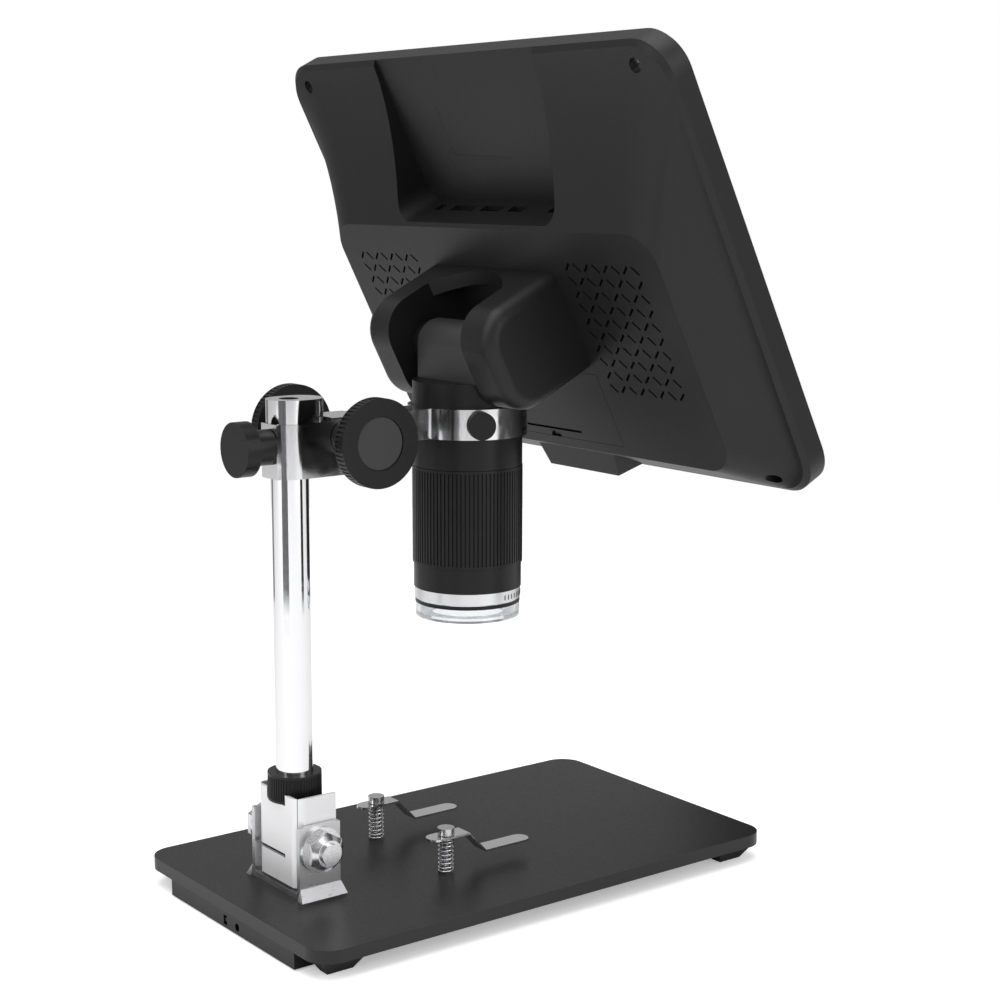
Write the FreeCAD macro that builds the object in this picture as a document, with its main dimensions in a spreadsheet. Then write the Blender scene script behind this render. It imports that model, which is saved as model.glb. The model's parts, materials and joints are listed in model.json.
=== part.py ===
import FreeCAD, Part
import Sketcher
import math
import os
import re

from FreeCAD import Vector, Rotation, Placement

# Digital microscope on a stand: a base plate with two stage clips, a column
# that tips on a bolt, a rack-driven carriage with a ring, the microscope
# barrel in that ring, and a display that tilts on the barrel's neck.
#
# Frame: +Z up, the display faces -Y, the column stands at +Y. The origin is
# on the surface the feet rest on, under the middle of the base plate.

# Driving sizes in millimetres and degrees; each is set by itself.
sizes = {
    # base plate, feet and the control box under the rear edge
    "plate_length": 200.0,
    "plate_width": 120.0,
    "plate_thickness": 4.6,
    "plate_corner": 9.0,
    "foot_height": 6.2,
    "foot_long": 18.0,
    "foot_wide": 12.5,
    "foot_taper": 4.0,
    "foot_inset": 3.2,
    "box_width": 84.0,
    "box_shift": 2.0,
    "box_height": 5.7,
    "box_wall": 0.9,
    "box_rear_wall": 1.2,
    "board_thickness": 1.0,
    "control_board_width": 40.0,
    "jack_offset": 6.9,
    "jack_width": 6.0,
    "jack_depth": 8.0,
    "jack_bore_radius": 1.4,
    "switch_offset": 1.2,
    "switch_slot_width": 2.4,
    "switch_slot_height": 3.4,
    "switch_tab_height": 1.3,
    "switch_tab_width": 1.9,
    "switch_tab_length": 2.6,
    # pivot at the foot of the column
    "column_back": 72.0,
    "pivot_height": 17.0,
    "bolt_radius": 3.65,
    "bolt_head_radius": 7.2,
    "bolt_head_thickness": 5.0,
    "bolt_end_length": 1.2,
    "washer_radius": 8.0,
    "washer_thickness": 1.5,
    "cradle_gap": 28.0,
    "cradle_sheet": 2.0,
    "cradle_depth": 16.5,
    "cradle_height": 25.6,
    "cradle_flare": 3.0,
    "cradle_flare_height": 3.9,
    "cradle_screw_radius": 1.9,
    "cradle_screw_head": 3.4,
    "cradle_screw_spacing": 8.0,
    "bracket_width": 26.8,
    "bracket_depth": 16.0,
    "bracket_sheet": 1.1,
    "bracket_bottom": 3.0,
    "bracket_height": 32.0,
    "bracket_corner": 4.0,
    "bracket_slot_height": 1.4,
    "bracket_slot_level": 12.4,
    "bracket_slot_length": 19.0,
    "socket_bottom": 7.0,
    # column
    "column_radius": 6.5,
    "column_bottom": 23.0,
    "column_top": 171.4,
    "column_hole_radius": 3.4,
    "column_hole_depth": 14.0,
    "collar_radius": 9.45,
    "collar_bottom": 31.5,
    "collar_height": 9.7,
    "cap_radius": 7.9,
    "cap_height": 8.0,
    "cap_reach": 4.3,
    # rack and gears
    "gear_module": 0.6,
    "gear_teeth": 13.0,
    "gear_width": 5.0,
    "gear_backlash": 0.12,
    "rack_depth": 5.8,
    "rack_length": 84.0,
    "axle_radius": 1.2,
    "axle_length": 12.0,
    "shaft_radius": 3.0,
    # carriage, arm and ring
    "carriage_width": 16.0,
    "carriage_bottom": 144.7,
    "carriage_height": 18.6,
    "drive_front": 45.5,
    "drive_height": 16.4,
    "carriage_round": 2.5,
    "arm_width": 13.0,
    "arm_height": 10.8,
    "arm_top": 164.6,
    "ring_radius": 21.6,
    "ring_wall": 1.4,
    "focus_height": 157.7,
    "knob_radius": 15.2,
    "knob_thickness": 4.7,
    "knob_face": 29.5,
    "knob_hub_radius": 6.0,
    "knob_recess_radius": 9.1,
    "knob_recess_depth": 0.6,
    "knob_grooves": 60.0,
    "knob_groove_depth": 0.4,
    "lock_height": 155.5,
    "lock_cap_radius": 9.35,
    "lock_cap_thickness": 5.2,
    "lock_stem_radius": 6.1,
    "lock_stem_length": 8.2,
    "lock_pin_radius": 2.5,
    "ring_screw_angle": 24.5,
    "ring_screw_height": 159.2,
    "ring_screw_radius": 4.95,
    "ring_screw_head": 3.4,
    "ring_screw_pin": 2.0,
    # microscope barrel
    "barrel_front": 3.0,
    "barrel_radius": 19.9,
    "barrel_wall": 2.5,
    "barrel_top": 173.3,
    "barrel_top_wall": 2.3,
    "barrel_bottom": 142.6,
    "grip_radius": 20.05,
    "grip_bottom": 107.1,
    "grip_flutes": 84.0,
    "grip_flute_width": 0.7,
    "grip_flute_depth": 0.6,
    "grip_margin": 0.9,
    "lower_ring_radius": 19.6,
    "lower_ring_bottom": 98.0,
    "lens_tube_radius": 16.2,
    "lens_tube_wall": 2.6,
    "lens_tube_bottom": 98.4,
    "lens_seat_length": 9.6,
    "lens_radius": 5.0,
    "lens_thickness": 2.6,
    "nose_band_radius": 19.3,
    "nose_band_bottom": 93.9,
    "nose_radius": 19.05,
    "nose_wall": 1.6,
    "nose_bottom": 87.3,
    "nose_lip": 4.0,
    "led_board_radius": 15.7,
    "led_board_bore": 6.5,
    "led_count": 8.0,
    "led_circle": 11.5,
    "led_radius": 2.2,
    "led_height": 2.4,
    "sensor_level": 150.0,
    "sensor_board_radius": 13.0,
    "sensor_chip": 9.0,
    "sensor_chip_height": 1.2,
    "neck_width": 35.6,
    "neck_depth": 19.0,
    # tilt hinge
    "tilt_height": 184.8,
    "hinge_pin_radius": 3.0,
    "hinge_pin_length": 60.0,
    "hinge_disc_radius": 8.6,
    # display housing, in its own upright frame
    "display_tilt": 27.0,
    "pivot_back": 48.3,
    "pivot_drop": 11.4,
    "housing_width": 218.6,
    "housing_height": 167.2,
    "housing_corner": 14.0,
    "bezel_depth": 4.6,
    "side_depth": 8.6,
    "edge_inset": 1.8,
    "edge_depth": 1.6,
    "pod_depth": 27.0,
    "pod_width": 186.0,
    "pod_top": 25.0,
    "pod_bottom": 66.0,
    "pod_corner": 12.0,
    "shell_wall": 2.0,
    "recess_width": 93.0,
    "recess_bottom": 26.5,
    "recess_floor": 8.6,
    "recess_corner": 7.0,
    "glass_width": 184.0,
    "glass_height": 115.0,
    "glass_thickness": 1.1,
    "glass_rise": 11.0,
    "panel_width": 188.0,
    "panel_height": 122.0,
    "panel_thickness": 3.1,
    "screw_across": 191.0,
    "screw_up": 151.0,
    "screw_hole_radius": 2.5,
    "screw_pin_radius": 1.2,
    "screw_boss_radius": 4.5,
    "screw_sink": 5.0,
    "screw_head_height": 1.6,
    "button_count": 5.0,
    "button_radius": 4.0,
    "button_pitch": 16.0,
    "button_drop": 68.0,
    "button_rise": 0.8,
    "button_travel": 0.5,
    "button_flange": 0.8,
    "button_board_width": 92.0,
    "button_board_height": 14.0,
    "chin_width": 46.0,
    "chin_taper": 3.0,
    "chin_drop": 80.5,
    "chin_back": 21.5,
    "chin_front": 8.7,
    "vent_columns": 8.0,
    "vent_rows": 10.0,
    "vent_pitch": 5.0,
    "vent_row_pitch": 5.35,
    "vent_start": 45.5,
    "vent_top": 11.4,
    "vent_length": 4.1,
    "vent_slit": 0.9,
    "cover_width": 76.0,
    "cover_height": 30.0,
    "cover_drop": 62.0,
    "cover_thickness": 1.4,
    "cover_slot_width": 32.0,
    "cover_slot_height": 1.0,
    "battery_width": 54.0,
    "battery_height": 24.0,
    "battery_thickness": 8.0,
    "main_board_width": 120.0,
    "main_board_height": 52.0,
    "main_board_thickness": 1.6,
    "main_board_level": 17.0,
    "port_depth": 9.0,
    "port_height": 4.6,
    "speaker_width": 34.0,
    "speaker_height": 22.0,
    "speaker_depth": 6.0,
    "speaker_offset": 63.0,
    "speaker_drop": 42.0,
    # hinge yoke on the back of the display
    "yoke_width": 75.0,
    "yoke_pocket": 44.0,
    "yoke_top": 9.0,
    "yoke_bottom": 30.0,
    "yoke_back": 64.5,
    "yoke_corner": 13.0,
    "yoke_edge": 5.0,
    "yoke_base": 1.5,
    "yoke_roof": 5.5,
    "yoke_arch_radius": 28.0,
    "yoke_arch_back": 57.0,
    # stage clips
    "clip_across": 44.6,
    "clip_back": 23.1,
    "clip_screw_radius": 1.5,
    "clip_head_radius": 3.05,
    "clip_head_height": 2.5,
    "clip_level": 12.9,
    "clip_sheet": 0.8,
    "clip_width": 7.0,
    "clip_tab": 8.0,
    "clip_flat": 8.0,
    "clip_run": 7.5,
    "clip_drop": 8.0,
    "clip_foot": 21.0,
    "bush_radius": 2.2,
    "bush_flange": 2.9,
    "bush_flange_thickness": 0.5,
    "spring_radius": 2.6,
    "spring_wire": 0.32,
    "spring_turns": 8.0,
    # clearances
    "seat_gap": 0.3,
    "fit_gap": 0.05,
    "slide_gap": 0.15,
}


def worked_out(s):
    """Places that follow from the driving sizes."""
    deck = s["foot_height"] + s["plate_thickness"]
    screws_end = s["column_back"] + s["cradle_screw_spacing"] / 2 + s["cradle_screw_head"]
    box_depth = s["plate_length"] / 2 - screws_end - 2 * s["seat_gap"]
    pitch_radius = s["gear_module"] * s["gear_teeth"] / 2
    idler_back = s["column_back"] - s["rack_depth"] - pitch_radius
    return {
        "deck": deck,
        "box_depth": box_depth,
        "control_board_depth": box_depth - 2 * s["box_rear_wall"] - 2 * s["seat_gap"],
        "pivot_level": deck + s["pivot_height"],
        "tilt_level": deck + s["tilt_height"],
        "focus_level": deck + s["focus_height"],
        "arm_level": deck + s["arm_top"] - s["arm_height"],
        "gear_radius": pitch_radius,
        "idler_back": idler_back,
        "drive_back": idler_back - 2 * pitch_radius,
        "sheet_half": s["cradle_gap"] / 2 + s["cradle_sheet"],
        "sheet_outer": s["cradle_gap"] / 2 + s["cradle_sheet"] + s["washer_thickness"],
        "bracket_back": s["column_back"] + s["bracket_depth"] / 2 - 0.3,
        "carriage_rear": s["column_back"] + s["column_radius"] + 1.5,
        "ring_inner": s["ring_radius"] - s["ring_wall"],
        "box_floor": s["foot_height"] - s["box_height"],
        "jack_level": s["foot_height"] - 0.2 - s["board_thickness"] - 1.9,
        "switch_level": s["foot_height"] - s["box_height"] + s["box_wall"] + 1.25,
        "half_height": s["housing_height"] / 2,
        "back_level": s["side_depth"] + s["edge_depth"],
    }


places = worked_out(sizes)
mm = dict(sizes)
mm.update(places)

doc = FreeCAD.newDocument("microscope")
sheet = doc.addObject("Spreadsheet::Sheet", "sizes")
for row, (alias, value) in enumerate(mm.items(), start=1):
    cell = "B%d" % row
    sheet.set("A%d" % row, alias)
    sheet.set(cell, repr(float(value)))
    sheet.setAlias(cell, alias)
doc.recompute()

pieces = []


def bound(expression):
    """The same expression with every size name pointing at its cell."""
    return re.sub(r"[a-z][a-z_]*", lambda word: "sizes." + word.group(0), str(expression))


TURNS = {
    "Z": Rotation(),
    "X": Rotation(Vector(0, 1, 0), 90),
    "Y": Rotation(Vector(1, 0, 0), -90),
}


def put(thing, at, axis="Z"):
    """Turn a primitive's own Z to an axis and bind its place to the cells."""
    thing.Placement = Placement(Vector(0, 0, 0), TURNS[axis])
    for letter, expression in zip("xyz", at):
        thing.setExpression("Placement.Base." + letter, bound(expression))
    return thing


def box(name, size, at):
    """A box by its three sides and its lowest corner."""
    thing = doc.addObject("Part::Box", name)
    for side, expression in zip(("Length", "Width", "Height"), size):
        thing.setExpression(side, bound(expression))
    return put(thing, at)


def middle_box(name, size, at):
    """A box whose place is the middle of its width in X."""
    return box(name, size, ("%s - (%s) / 2" % (at[0], size[0]), at[1], at[2]))


def cylinder(name, radius, height, at, axis="Z"):
    thing = doc.addObject("Part::Cylinder", name)
    thing.setExpression("Radius", bound(radius))
    thing.setExpression("Height", bound(height))
    return put(thing, at, axis)


def cone(name, low_radius, high_radius, height, at, axis="Z"):
    thing = doc.addObject("Part::Cone", name)
    thing.setExpression("Radius1", bound(low_radius))
    thing.setExpression("Radius2", bound(high_radius))
    thing.setExpression("Height", bound(height))
    return put(thing, at, axis)


def hexagon(name, radius, height, at, axis):
    thing = doc.addObject("Part::Prism", name)
    thing.Polygon = 6
    thing.setExpression("Circumradius", bound(radius))
    thing.setExpression("Height", bound(height))
    return put(thing, at, axis)


def fuse(name, *things):
    thing = doc.addObject("Part::MultiFuse", name)
    thing.Shapes = list(things)
    thing.Refine = True
    return thing


def common(name, *things):
    thing = doc.addObject("Part::MultiCommon", name)
    thing.Shapes = list(things)
    return thing


def cut(name, base, *tools):
    thing = doc.addObject("Part::Cut", name)
    thing.Base = base
    thing.Tool = tools[0] if len(tools) == 1 else fuse(name + "_tools", *tools)
    return thing


def group(name, *things):
    thing = doc.addObject("Part::Compound", name)
    thing.Links = list(things)
    return thing


def solid(name, shape):
    """A shape made by formula."""
    thing = doc.addObject("Part::Feature", name)
    thing.Shape = shape
    return thing


def rounded(name, base, radius, wanted):
    """Round the edges of an object that the test picks."""
    doc.recompute()
    thing = doc.addObject("Part::Fillet", name)
    thing.Base = base
    chosen = [n for n, edge in enumerate(base.Shape.Edges, start=1) if wanted(edge)]
    thing.Edges = [(n, mm[radius], mm[radius]) for n in chosen]
    return thing


def along(edge, direction):
    """True when a straight edge runs along a direction."""
    if not isinstance(edge.Curve, (Part.Line, Part.LineSegment)):
        return False
    run = edge.Vertexes[-1].Point - edge.Vertexes[0].Point
    return run.Length > 0 and abs(abs(run.normalize().dot(direction)) - 1) < 1e-6


def finish(thing, label, frame=None):
    """Name a finished piece and, if it has one, put it in its own frame."""
    thing.Label = label
    if frame is not None:
        doc.recompute()
        thing.Placement = frame.multiply(thing.Placement)
    pieces.append(thing)
    return thing


def plane(body, role):
    """An origin plane of a body, by its role."""
    return [f for f in body.Origin.OriginFeatures if f.Role == role][0]


def sketch_on(body, name, role, offset="0"):
    sketch = body.newObject("Sketcher::SketchObject", name)
    sketch.AttachmentSupport = (plane(body, role), "")
    sketch.MapMode = "FlatFace"
    sketch.setExpression("AttachmentOffset.Base.z", bound(offset))
    return sketch


def centred_rectangle(sketch, wide, high):
    """A rectangle about the sketch's origin, its two sides bound to cells."""
    half = Vector(10, 6, 0)
    corners = [
        Vector(-half.x, -half.y, 0),
        Vector(half.x, -half.y, 0),
        Vector(half.x, half.y, 0),
        Vector(-half.x, half.y, 0),
    ]
    for n in range(4):
        sketch.addGeometry(Part.LineSegment(corners[n], corners[(n + 1) % 4]), False)
    for n in range(4):
        sketch.addConstraint(Sketcher.Constraint("Coincident", n, 2, (n + 1) % 4, 1))
    for n in (0, 2):
        sketch.addConstraint(Sketcher.Constraint("Horizontal", n))
    for n in (1, 3):
        sketch.addConstraint(Sketcher.Constraint("Vertical", n))
    sketch.addConstraint(Sketcher.Constraint("Symmetric", 0, 1, 1, 2, -1, 1))
    across = sketch.addConstraint(Sketcher.Constraint("DistanceX", 0, 1, 0, 2, 20.0))
    up = sketch.addConstraint(Sketcher.Constraint("DistanceY", 1, 1, 1, 2, 12.0))
    sketch.setExpression("Constraints[%d]" % across, bound(wide))
    sketch.setExpression("Constraints[%d]" % up, bound(high))


def circle(sketch, radius, x="0", y="0"):
    """A circle whose radius and centre are bound to cells."""
    here = sketch.addGeometry(Part.Circle(Vector(1, 1, 0), Vector(0, 0, 1), 2), False)
    size = sketch.addConstraint(Sketcher.Constraint("Radius", here, 2.0))
    sketch.setExpression("Constraints[%d]" % size, bound(radius))
    if x == "0" and y == "0":
        sketch.addConstraint(Sketcher.Constraint("Coincident", here, 3, -1, 1))
        return
    right = sketch.addConstraint(Sketcher.Constraint("DistanceX", -1, 1, here, 3, 1.0))
    up = sketch.addConstraint(Sketcher.Constraint("DistanceY", -1, 1, here, 3, 1.0))
    sketch.setExpression("Constraints[%d]" % right, bound(x))
    sketch.setExpression("Constraints[%d]" % up, bound(y))


def pad(body, sketch, name, length):
    feature = body.newObject("PartDesign::Pad", name)
    feature.Profile = sketch
    feature.setExpression("Length", bound(length))
    return feature


def fluted_ring(name, outer, inner, height, at, flutes, flute_width, flute_depth, margin):
    """A ring with a pattern of straight flutes round its outside."""
    body = doc.addObject("PartDesign::Body", name)
    outline = sketch_on(body, name + "_outline", "XY_Plane")
    circle(outline, outer)
    circle(outline, inner)
    pad(body, outline, name + "_ring", height)
    if flutes is None:
        return put(body, at)
    flute = sketch_on(body, name + "_flute", "XY_Plane", margin)
    circle(flute, flute_width + " / 2", outer + " + " + flute_width + " / 2 - " + flute_depth, "0.0")
    doc.recompute()
    pocket = body.newObject("PartDesign::Pocket", name + "_pocket")
    pocket.Profile = flute
    pocket.Reversed = True
    pocket.setExpression("Length", bound("%s - 2 * %s" % (height, margin)))
    doc.recompute()
    pattern = body.newObject("PartDesign::PolarPattern", name + "_pattern")
    pattern.Originals = [pocket]
    pattern.Axis = (flute, ["N_Axis"])
    pattern.Angle = 360
    pattern.setExpression("Occurrences", bound(flutes))
    body.Tip = pattern
    return put(body, at)


def base_plate():
    body = doc.addObject("PartDesign::Body", "plate_body")
    outline = sketch_on(body, "plate_outline", "XY_Plane")
    centred_rectangle(outline, "plate_width", "plate_length")
    slab = pad(body, outline, "plate_slab", "plate_thickness")
    doc.recompute()
    corners = body.newObject("PartDesign::Fillet", "plate_corners")
    upright = [
        "Edge%d" % n
        for n, edge in enumerate(slab.Shape.Edges, start=1)
        if along(edge, Vector(0, 0, 1))
    ]
    corners.Base = (slab, upright)
    corners.setExpression("Radius", bound("plate_corner"))
    body.Tip = corners
    put(body, ("0", "0", "foot_height"))
    holes = []
    for side, sign in (("left", "-"), ("right", "")):
        across = sign + "clip_across / 2"
        holes.append(cylinder("clip_hole_" + side, "clip_screw_radius + fit_gap",
                              "plate_thickness", (across, "clip_back", "foot_height")))
    for end, sign in (("front", "-"), ("rear", "+")):
        back = "column_back %s cradle_screw_spacing / 2" % sign
        holes.append(cylinder("cradle_hole_" + end, "cradle_screw_radius + fit_gap",
                              "plate_thickness", ("0", back, "foot_height")))
    finish(cut("plate", body, *holes), "base_plate")


def corner_feet():
    feet = []
    for n, (x_sign, y_sign) in enumerate(((-1, -1), (1, -1), (1, 1), (-1, 1))):
        foot = doc.addObject("Part::Wedge", "foot_%d" % n)
        foot.Xmin = foot.Ymin = foot.Zmin = 0
        foot.setExpression("Xmax", bound("foot_wide"))
        foot.setExpression("Ymax", bound("foot_height"))
        foot.setExpression("Zmax", bound("foot_long"))
        foot.setExpression("X2min", bound("foot_taper"))
        foot.setExpression("X2max", bound("foot_wide - foot_taper"))
        foot.setExpression("Z2min", bound("foot_taper"))
        foot.setExpression("Z2max", bound("foot_long - foot_taper"))
        x = "plate_width / 2 - foot_wide - foot_inset" if x_sign > 0 else "-plate_width / 2 + foot_inset"
        y = "plate_length / 2 - foot_long - foot_inset" if y_sign > 0 else "-plate_length / 2 + foot_inset"
        put(foot, (x, y, "foot_height"))
        foot.Placement = Placement(foot.Placement.Base, Rotation(Vector(1, 0, 0), -90))
        feet.append(foot)
    finish(group("feet", *feet), "corner_feet")


def control_box():
    rear = "plate_length / 2"
    outer = middle_box("box_outer", ("box_width", "box_depth", "box_height"),
                       ("-box_shift", rear + " - box_depth", "box_floor"))
    inner = middle_box("box_inner",
                       ("box_width - 2 * box_rear_wall", "box_depth - 2 * box_rear_wall", "box_height"),
                       ("-box_shift", rear + " - box_depth + box_rear_wall", "box_floor + box_wall"))
    slot = middle_box("box_slot", ("switch_slot_width", "box_rear_wall * 3", "switch_slot_height"),
                      ("switch_offset", rear + " - box_rear_wall * 2", "box_floor + box_wall + 0.2"))
    hole = cylinder("box_jack_hole", "jack_bore_radius", "box_rear_wall * 3",
                    ("-jack_offset", rear + " - box_rear_wall * 2", "jack_level"), "Y")
    finish(cut("box_shell", outer, inner, slot, hole), "control_box")


def control_parts():
    rear = "plate_length / 2 - box_rear_wall"
    board_bottom = "foot_height - 0.2 - board_thickness"
    board = middle_box("board_slab", ("control_board_width", "control_board_depth", "board_thickness"),
                       ("0", rear + " - control_board_depth - 0.2", board_bottom))
    finish(board, "control_board")
    body = middle_box("jack_block", ("jack_width", "jack_depth", board_bottom + " - box_floor - box_wall"),
                      ("-jack_offset", rear + " - jack_depth", "box_floor + box_wall"))
    bore = cylinder("jack_bore", "jack_bore_radius", "jack_depth - 1.5",
                    ("-jack_offset", rear + " - jack_depth + 1.5", "jack_level"), "Y")
    finish(cut("jack", body, bore), "dc_jack")
    tab = middle_box("switch_tab", ("switch_tab_width", "switch_tab_length", "switch_tab_height"),
                     ("switch_offset", rear + " - switch_tab_length + box_rear_wall - 0.4", "switch_level"))
    carrier = middle_box("switch_carrier", ("switch_tab_width + 2.4", "1.2", "switch_tab_height"),
                         ("switch_offset", rear + " - 0.3 - 1.2", "switch_level"))
    finish(fuse("switch_parts", tab, carrier), "switch_slider")


def pivot_cradle():
    front = "column_back - cradle_depth / 2"
    web = middle_box("cradle_web", ("cradle_gap", "cradle_depth", "cradle_sheet"), ("0", front, "deck"))
    parts = [web]
    for side, sign in (("left", -1), ("right", 1)):
        across = "-sheet_half" if sign < 0 else "cradle_gap / 2"
        parts.append(box("cradle_wing_" + side, ("cradle_sheet", "cradle_depth", "cradle_height"),
                         (across, front, "deck")))
        flare = doc.addObject("Part::Wedge", "cradle_flare_" + side)
        flare.Xmin = flare.Ymin = flare.Zmin = 0
        flare.setExpression("Xmax", bound("cradle_depth + 2"))
        flare.setExpression("Ymax", bound("cradle_flare_height"))
        flare.setExpression("Zmax", bound("cradle_flare"))
        flare.setExpression("X2min", bound("1"))
        flare.setExpression("X2max", bound("cradle_depth + 1"))
        flare.Z2min = 0
        flare.Z2max = 0.4
        if sign < 0:
            put(flare, ("-sheet_half", "column_back + cradle_depth / 2 + 1", "deck"))
            turn = Rotation(Vector(0, -1, 0), Vector(0, 0, 1), Vector(-1, 0, 0), "XYZ")
        else:
            put(flare, ("sheet_half", "column_back - cradle_depth / 2 - 1", "deck"))
            turn = Rotation(Vector(0, 1, 0), Vector(0, 0, 1), Vector(1, 0, 0), "XYZ")
        flare.Placement = Placement(flare.Placement.Base, turn)
        parts.append(flare)
    bore = cylinder("cradle_bore", "bolt_radius + fit_gap", "sheet_half * 2 + 20",
                    ("-sheet_half - 10", "column_back", "pivot_level"), "X")
    taps = [
        cylinder("cradle_tap_" + end, "cradle_screw_radius + fit_gap", "cradle_sheet",
                 ("0", "column_back %s cradle_screw_spacing / 2" % sign, "deck"))
        for end, sign in (("front", "-"), ("rear", "+"))
    ]
    finish(cut("cradle", fuse("cradle_sheet_metal", *parts), bore, *taps), "pivot_cradle")
    screws = []
    for end, sign in (("front", "-"), ("rear", "+")):
        back = "column_back %s cradle_screw_spacing / 2" % sign
        pin = cylinder("cradle_pin_" + end, "cradle_screw_radius", "plate_thickness + cradle_sheet",
                       ("0", back, "foot_height"))
        head = cylinder("cradle_head_" + end, "cradle_screw_head", "1.6",
                        ("0", back, "foot_height - 1.6"))
        screws.append(fuse("cradle_screw_" + end, pin, head))
    finish(group("cradle_screw_pair", *screws), "cradle_screws")


def pivot_bolt():
    length = "sheet_outer * 2 + bolt_head_thickness + bolt_end_length"
    end = "-sheet_outer - bolt_head_thickness - bolt_end_length"
    shank = cylinder("bolt_shank", "bolt_radius", length, (end, "column_back", "pivot_level"), "X")
    head = hexagon("bolt_head", "bolt_head_radius", "bolt_head_thickness",
                   ("sheet_outer", "column_back", "pivot_level"), "X")
    finish(fuse("bolt", shank, head), "pivot_bolt")
    nut = hexagon("nut_blank", "bolt_head_radius", "bolt_head_thickness",
                  ("-sheet_outer - bolt_head_thickness", "column_back", "pivot_level"), "X")
    crown = cone("nut_crown", "bolt_radius * 1.3", "bolt_radius * 1.3 + 8", "8",
                 ("-sheet_outer - bolt_head_thickness", "column_back", "pivot_level"), "X")
    bore = cylinder("nut_bore", "bolt_radius + fit_gap", "bolt_head_thickness",
                    ("-sheet_outer - bolt_head_thickness", "column_back", "pivot_level"), "X")
    finish(cut("nut", common("nut_chamfered", nut, crown), bore), "pivot_nut")
    washers = []
    for side, across in (("left", "-sheet_outer"), ("right", "sheet_half")):
        disc = cylinder("washer_disc_" + side, "washer_radius", "washer_thickness",
                        (across, "column_back", "pivot_level"), "X")
        hole = cylinder("washer_hole_" + side, "bolt_radius + fit_gap", "washer_thickness",
                        (across, "column_back", "pivot_level"), "X")
        washers.append(cut("washer_" + side, disc, hole))
    finish(group("washer_pair", *washers), "pivot_washers")


def pivot_bracket():
    low = "deck + bracket_bottom"
    front = "bracket_back - bracket_depth"
    outer = middle_box("bracket_outer", ("bracket_width", "bracket_depth", "bracket_height"),
                       ("0", front, low))
    back = mm["bracket_back"]
    bent = rounded("bracket_bent", outer, "bracket_corner",
                   lambda e: along(e, Vector(0, 0, 1)) and e.Vertexes[0].Y > back - 1)
    inner = middle_box("bracket_inner",
                       ("bracket_width - 2 * bracket_sheet", "bracket_depth", "bracket_height"),
                       ("0", front + " - bracket_sheet", low))
    slot = box("bracket_slot", ("bracket_slot_length", "bracket_sheet * 3", "bracket_slot_height"),
               ("bracket_width / 2 - bracket_slot_length", "bracket_back - bracket_sheet * 2",
                "deck + bracket_slot_level"))
    relief = cylinder("bracket_relief", "collar_radius + seat_gap", "collar_height",
                      ("0", "column_back", "deck + collar_bottom - seat_gap"))
    bore = cylinder("bracket_bore", "bolt_radius + fit_gap", "bracket_width",
                    ("-bracket_width / 2", "column_back", "pivot_level"), "X")
    finish(cut("bracket", bent, inner, slot, relief, bore), "pivot_bracket")
    wide = "bracket_width - 2 * bracket_sheet - 2 * seat_gap"
    block = middle_box("socket_block",
                       (wide, "bracket_depth - bracket_sheet - seat_gap", "collar_bottom - socket_bottom"),
                       ("0", front, "deck + socket_bottom"))
    rod_hole = cylinder("socket_rod_hole", "column_radius + fit_gap", "collar_bottom",
                        ("0", "column_back", "deck + column_bottom"))
    bolt_hole = cylinder("socket_bolt_hole", "bolt_radius + fit_gap", "bracket_width",
                         ("-bracket_width / 2", "column_back", "pivot_level"), "X")
    finish(cut("socket", block, rod_hole, bolt_hole), "column_socket")


def rack_grooves():
    """Trapezoid grooves, one pitch apart, with one on the gear's level."""
    pitch = math.pi * mm["gear_module"]
    tip = mm["rack_depth"] + mm["gear_module"] + 0.3
    root = mm["rack_depth"] - 1.25 * mm["gear_module"]
    slope = math.tan(math.radians(20))
    at_pitch = pitch / 4 + mm["gear_backlash"] / 2
    wide = at_pitch + (tip - mm["rack_depth"]) * slope
    narrow = at_pitch - (mm["rack_depth"] - root) * slope
    centre = mm["column_back"]
    half = mm["column_radius"]
    below = int(round((mm["rack_length"] - 8) / pitch))
    grooves = []
    for n in range(-below, 5):
        level = mm["focus_level"] + n * pitch
        corners = [
            Vector(-half, centre - tip, level - wide),
            Vector(-half, centre - root, level - narrow),
            Vector(-half, centre - root, level + narrow),
            Vector(-half, centre - tip, level + wide),
        ]
        face = Part.Face(Part.makePolygon(corners + corners[:1]))
        grooves.append(face.extrude(Vector(2 * half, 0, 0)))
    return Part.makeCompound(grooves)


def column():
    rod = cylinder("rod_blank", "column_radius", "column_top - column_bottom",
                   ("0", "column_back", "deck + column_bottom"))
    hole = cylinder("rod_hole", "column_hole_radius", "column_hole_depth",
                    ("0", "column_back", "deck + column_top - column_hole_depth"))
    rack = solid("rack_cuts", rack_grooves())
    finish(cut("rod", cut("rod_drilled", rod, hole), rack), "column_rod")
    finish(fluted_ring("collar_body", "collar_radius", "column_radius + fit_gap", "collar_height",
                       ("0", "column_back", "deck + collar_bottom"), "knob_grooves",
                       "grip_flute_width", "knob_groove_depth", "grip_margin"),
           "column_collar")
    low = "deck + column_top - cap_height"
    round_part = cylinder("cap_round", "cap_radius", "cap_height", ("0", "column_back", low))
    reach = cylinder("cap_front", "cap_radius", "cap_height", ("0", "column_back - cap_reach", low))
    link = middle_box("cap_link", ("cap_radius * 2", "cap_reach", "cap_height"),
                      ("0", "column_back - cap_reach", low))
    hole = cylinder("cap_hole", "column_radius + fit_gap", "cap_height", ("0", "column_back", low))
    finish(cut("cap", fuse("cap_blank", round_part, reach, link), hole), "column_cap")


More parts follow.
